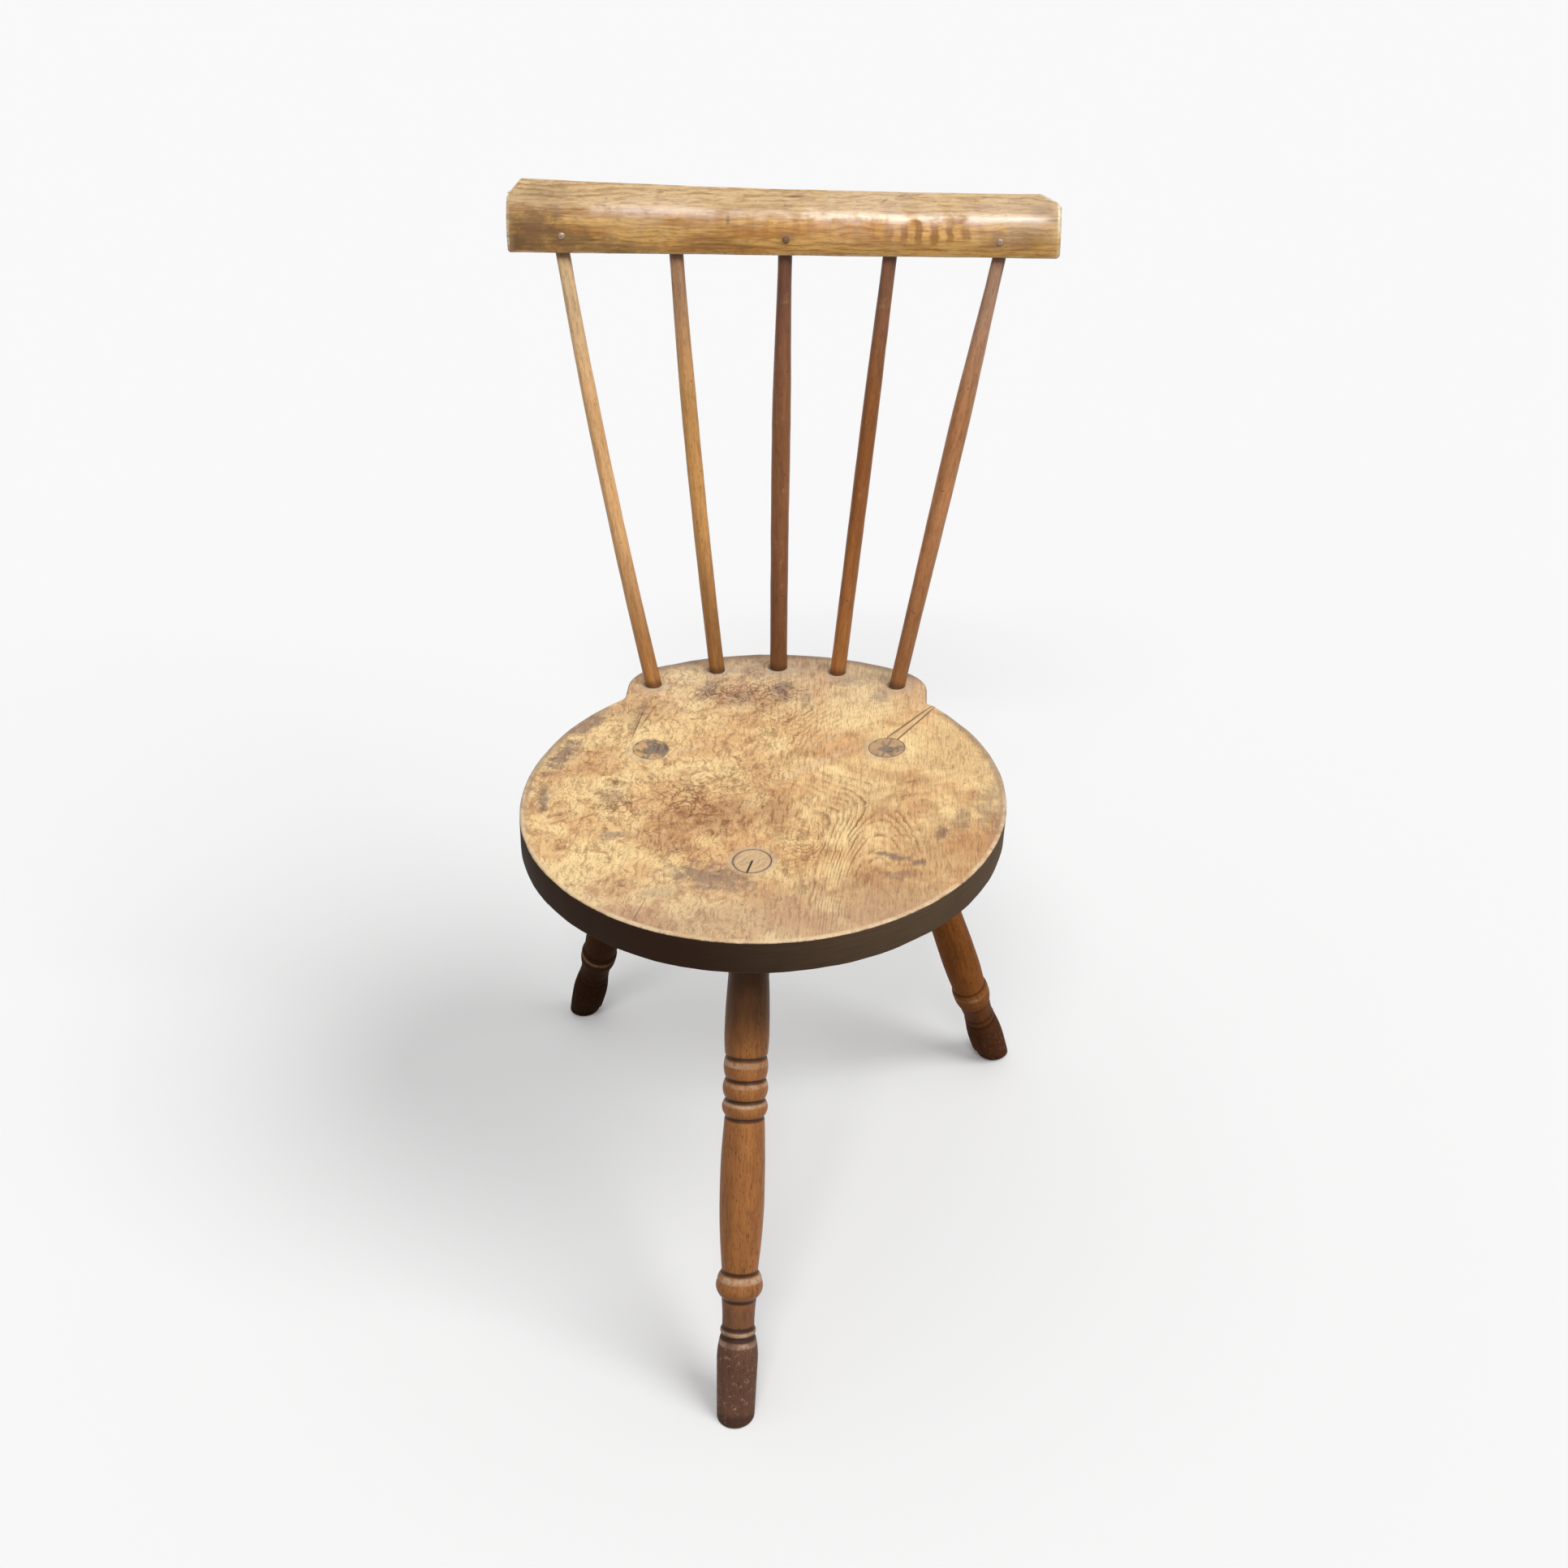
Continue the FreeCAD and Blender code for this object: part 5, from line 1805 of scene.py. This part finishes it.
class CHAIR_OT_nails(bpy.types.Operator):
    """Drive three domed nails through the crest rail into the spindles"""

    bl_idname = "chair.nails"
    bl_label = "Crest Nails"

    def execute(self, context):
        nails = settings().nails
        shank = nails.shank_radius / MM
        head = nails.head_radius / MM
        tip = -nails.shank / MM
        top = nails.head_height / MM
        brim = 0.4
        rings = [(0, tip, 0.2), (0, tip + 4, shank), (0, 0, shank), (0, 0.05, head)]
        steps = 6
        for i in range(steps):
            turn = math.pi / 2 * i / steps
            rings.append((0, brim + (top - brim) * math.sin(turn), head * math.cos(turn)))
        rings.append((0, top, 0.1))
        pattern = lathe("nail_pattern", rings, NAIL_SIDES)
        for nail in NAILS:
            piece = copy_of(pattern, f"{nail.name}_crest_nail")
            set_at(piece, nail_place(nail))
            roughen(piece, strength=0.3, grain=2)
            finish = iron_finish(f"{nail.name}_nail_iron", nail.rusty)
            finish_piece(piece, f"{nail.name}_crest_pin", finish)
        bpy.data.objects.remove(pattern)
        return {"FINISHED"}


# Where each lamp shines from, and its spread in degrees
LAMPS = {
    "front_lamp": ((0.03, -0.66, 0.75), 11),
    "left_lamp": ((-0.14, -0.66, 0.74), 11),
    "side_lamp": ((0.62, -0.28, 0.73), 34),
}
FLOOR_RADIUS = 14
FLOOR_GLOW = (0.3, 0.28, 0.26)
CAMERA_PLACE = Vector((0.11955, -1.35442, 1.28782))
CAMERA_HEADING = math.radians(-4.36)
CAMERA_TILT = math.radians(32.64)
CAMERA_ROLL = math.radians(-1.04)


class CHAIR_OT_stage(bpy.types.Operator):
    """Lay a pale floor, light it softly and stand the camera where the chair was seen from"""

    bl_idname = "chair.stage"
    bl_label = "Stage"

    def execute(self, context):
        stage = settings().stage
        bpy.ops.mesh.primitive_circle_add(vertices=96, radius=FLOOR_RADIUS, fill_type="NGON")
        floor = named("studio_floor")
        floor.data.materials.append(floor_finish(stage))
        add_sky(stage)
        for name, (source, spread) in LAMPS.items():
            add_lamp(name, Vector(source), getattr(stage, name), spread)
        add_camera(stage)
        context.scene.view_settings.view_transform = "Standard"
        return {"FINISHED"}


def seen(nodes):
    """One where the eye meets a surface or the sky, straight, mirrored or through something clear."""
    path = nodes.add("ShaderNodeLightPath").outputs
    return nodes.most(path["Is Camera Ray"], path["Is Glossy Ray"], path["Is Transmission Ray"])


def floor_finish(stage):
    """Pale to the eye, but a quiet grey to the light that it throws back on the chair."""
    material = bpy.data.materials.new("studio_floor")
    material.use_nodes = True
    nodes = Nodes(material.node_tree)
    shader = material.node_tree.nodes["Principled BSDF"]
    shader.inputs["Roughness"].default_value = 0.9
    shader.inputs["Specular IOR Level"].default_value = 0.0
    nodes.feed(shader.inputs["Base Color"], nodes.lay(FLOOR_GLOW, stage.floor, seen(nodes)))
    return material


def add_sky(stage):
    """Soft light, strongest overhead, white where it is seen."""
    world = bpy.data.worlds.new("studio_sky")
    bpy.context.scene.world = world
    world.use_nodes = True
    nodes = Nodes(world.node_tree)
    height = nodes.split(nodes.add("ShaderNodeTexCoord").outputs["Generated"])[2]
    soft = nodes.plus(stage.horizon, (nodes.most(height, 0.0), stage.sky - stage.horizon))
    white = seen(nodes)
    background = world.node_tree.nodes["Background"]
    background.inputs["Color"].default_value = (1, 1, 1, 1)
    nodes.feed(background.inputs["Strength"], nodes.plus((soft, nodes.less(white)), white))


def add_lamp(name, source, strength, spread):
    """A wide soft lamp far away in the direction of its source."""
    bpy.ops.object.light_add(type="SUN", rotation=source.to_track_quat("Z", "Y").to_euler())
    lamp = bpy.context.object
    lamp.name = name
    lamp.data.energy = strength
    lamp.data.angle = math.radians(spread)


def add_camera(stage):
    """The camera, with its heading, tilt and roll as the chair was seen."""
    bpy.ops.object.camera_add()
    camera = bpy.context.object
    turn = spun("Z", -CAMERA_HEADING) @ spun("X", math.pi / 2 - CAMERA_TILT) @ spun("Z", CAMERA_ROLL)
    camera.matrix_world = Matrix.Translation(CAMERA_PLACE) @ turn
    camera.data.lens = stage.lens
    camera.data.sensor_width = 36
    camera.data.clip_end = 100
    bpy.context.scene.camera = camera


class CHAIR_PT_panel(bpy.types.Panel):
    """Buttons for the chair's pieces"""

    bl_idname = "CHAIR_PT_panel"
    bl_label = "Windsor Side Chair"
    bl_space_type = "VIEW_3D"
    bl_region_type = "UI"
    bl_category = "Chair"

    def draw(self, context):
        for operator in OPERATORS:
            self.layout.operator(operator.bl_idname)


SETTINGS = (
    SeatSettings,
    StripSettings,
    CrestSettings,
    StickSettings,
    LegSettings,
    NailSettings,
    StageSettings,
    ChairSettings,
)
OPERATORS = (
    CHAIR_OT_seat,
    CHAIR_OT_strip,
    CHAIR_OT_crest,
    CHAIR_OT_sticks,
    CHAIR_OT_stick_wedges,
    CHAIR_OT_legs,
    CHAIR_OT_leg_wedges,
    CHAIR_OT_nails,
    CHAIR_OT_stage,
)


def register():
    for kind in (*SETTINGS, *OPERATORS, CHAIR_PT_panel):
        bpy.utils.register_class(kind)
    bpy.types.Scene.chair = PointerProperty(type=ChairSettings)


def unregister():
    del bpy.types.Scene.chair
    for kind in reversed((*SETTINGS, *OPERATORS, CHAIR_PT_panel)):
        bpy.utils.unregister_class(kind)


def main():
    """Registers the chair's classes, and makes every piece and the stage."""
    register()
    make_effects()
    bpy.ops.chair.seat()
    bpy.ops.chair.strip()
    bpy.ops.chair.crest()
    bpy.ops.chair.sticks()
    bpy.ops.chair.stick_wedges()
    bpy.ops.chair.legs()
    bpy.ops.chair.leg_wedges()
    bpy.ops.chair.nails()
    bpy.ops.chair.stage()


if __name__ == "__main__":
    main()
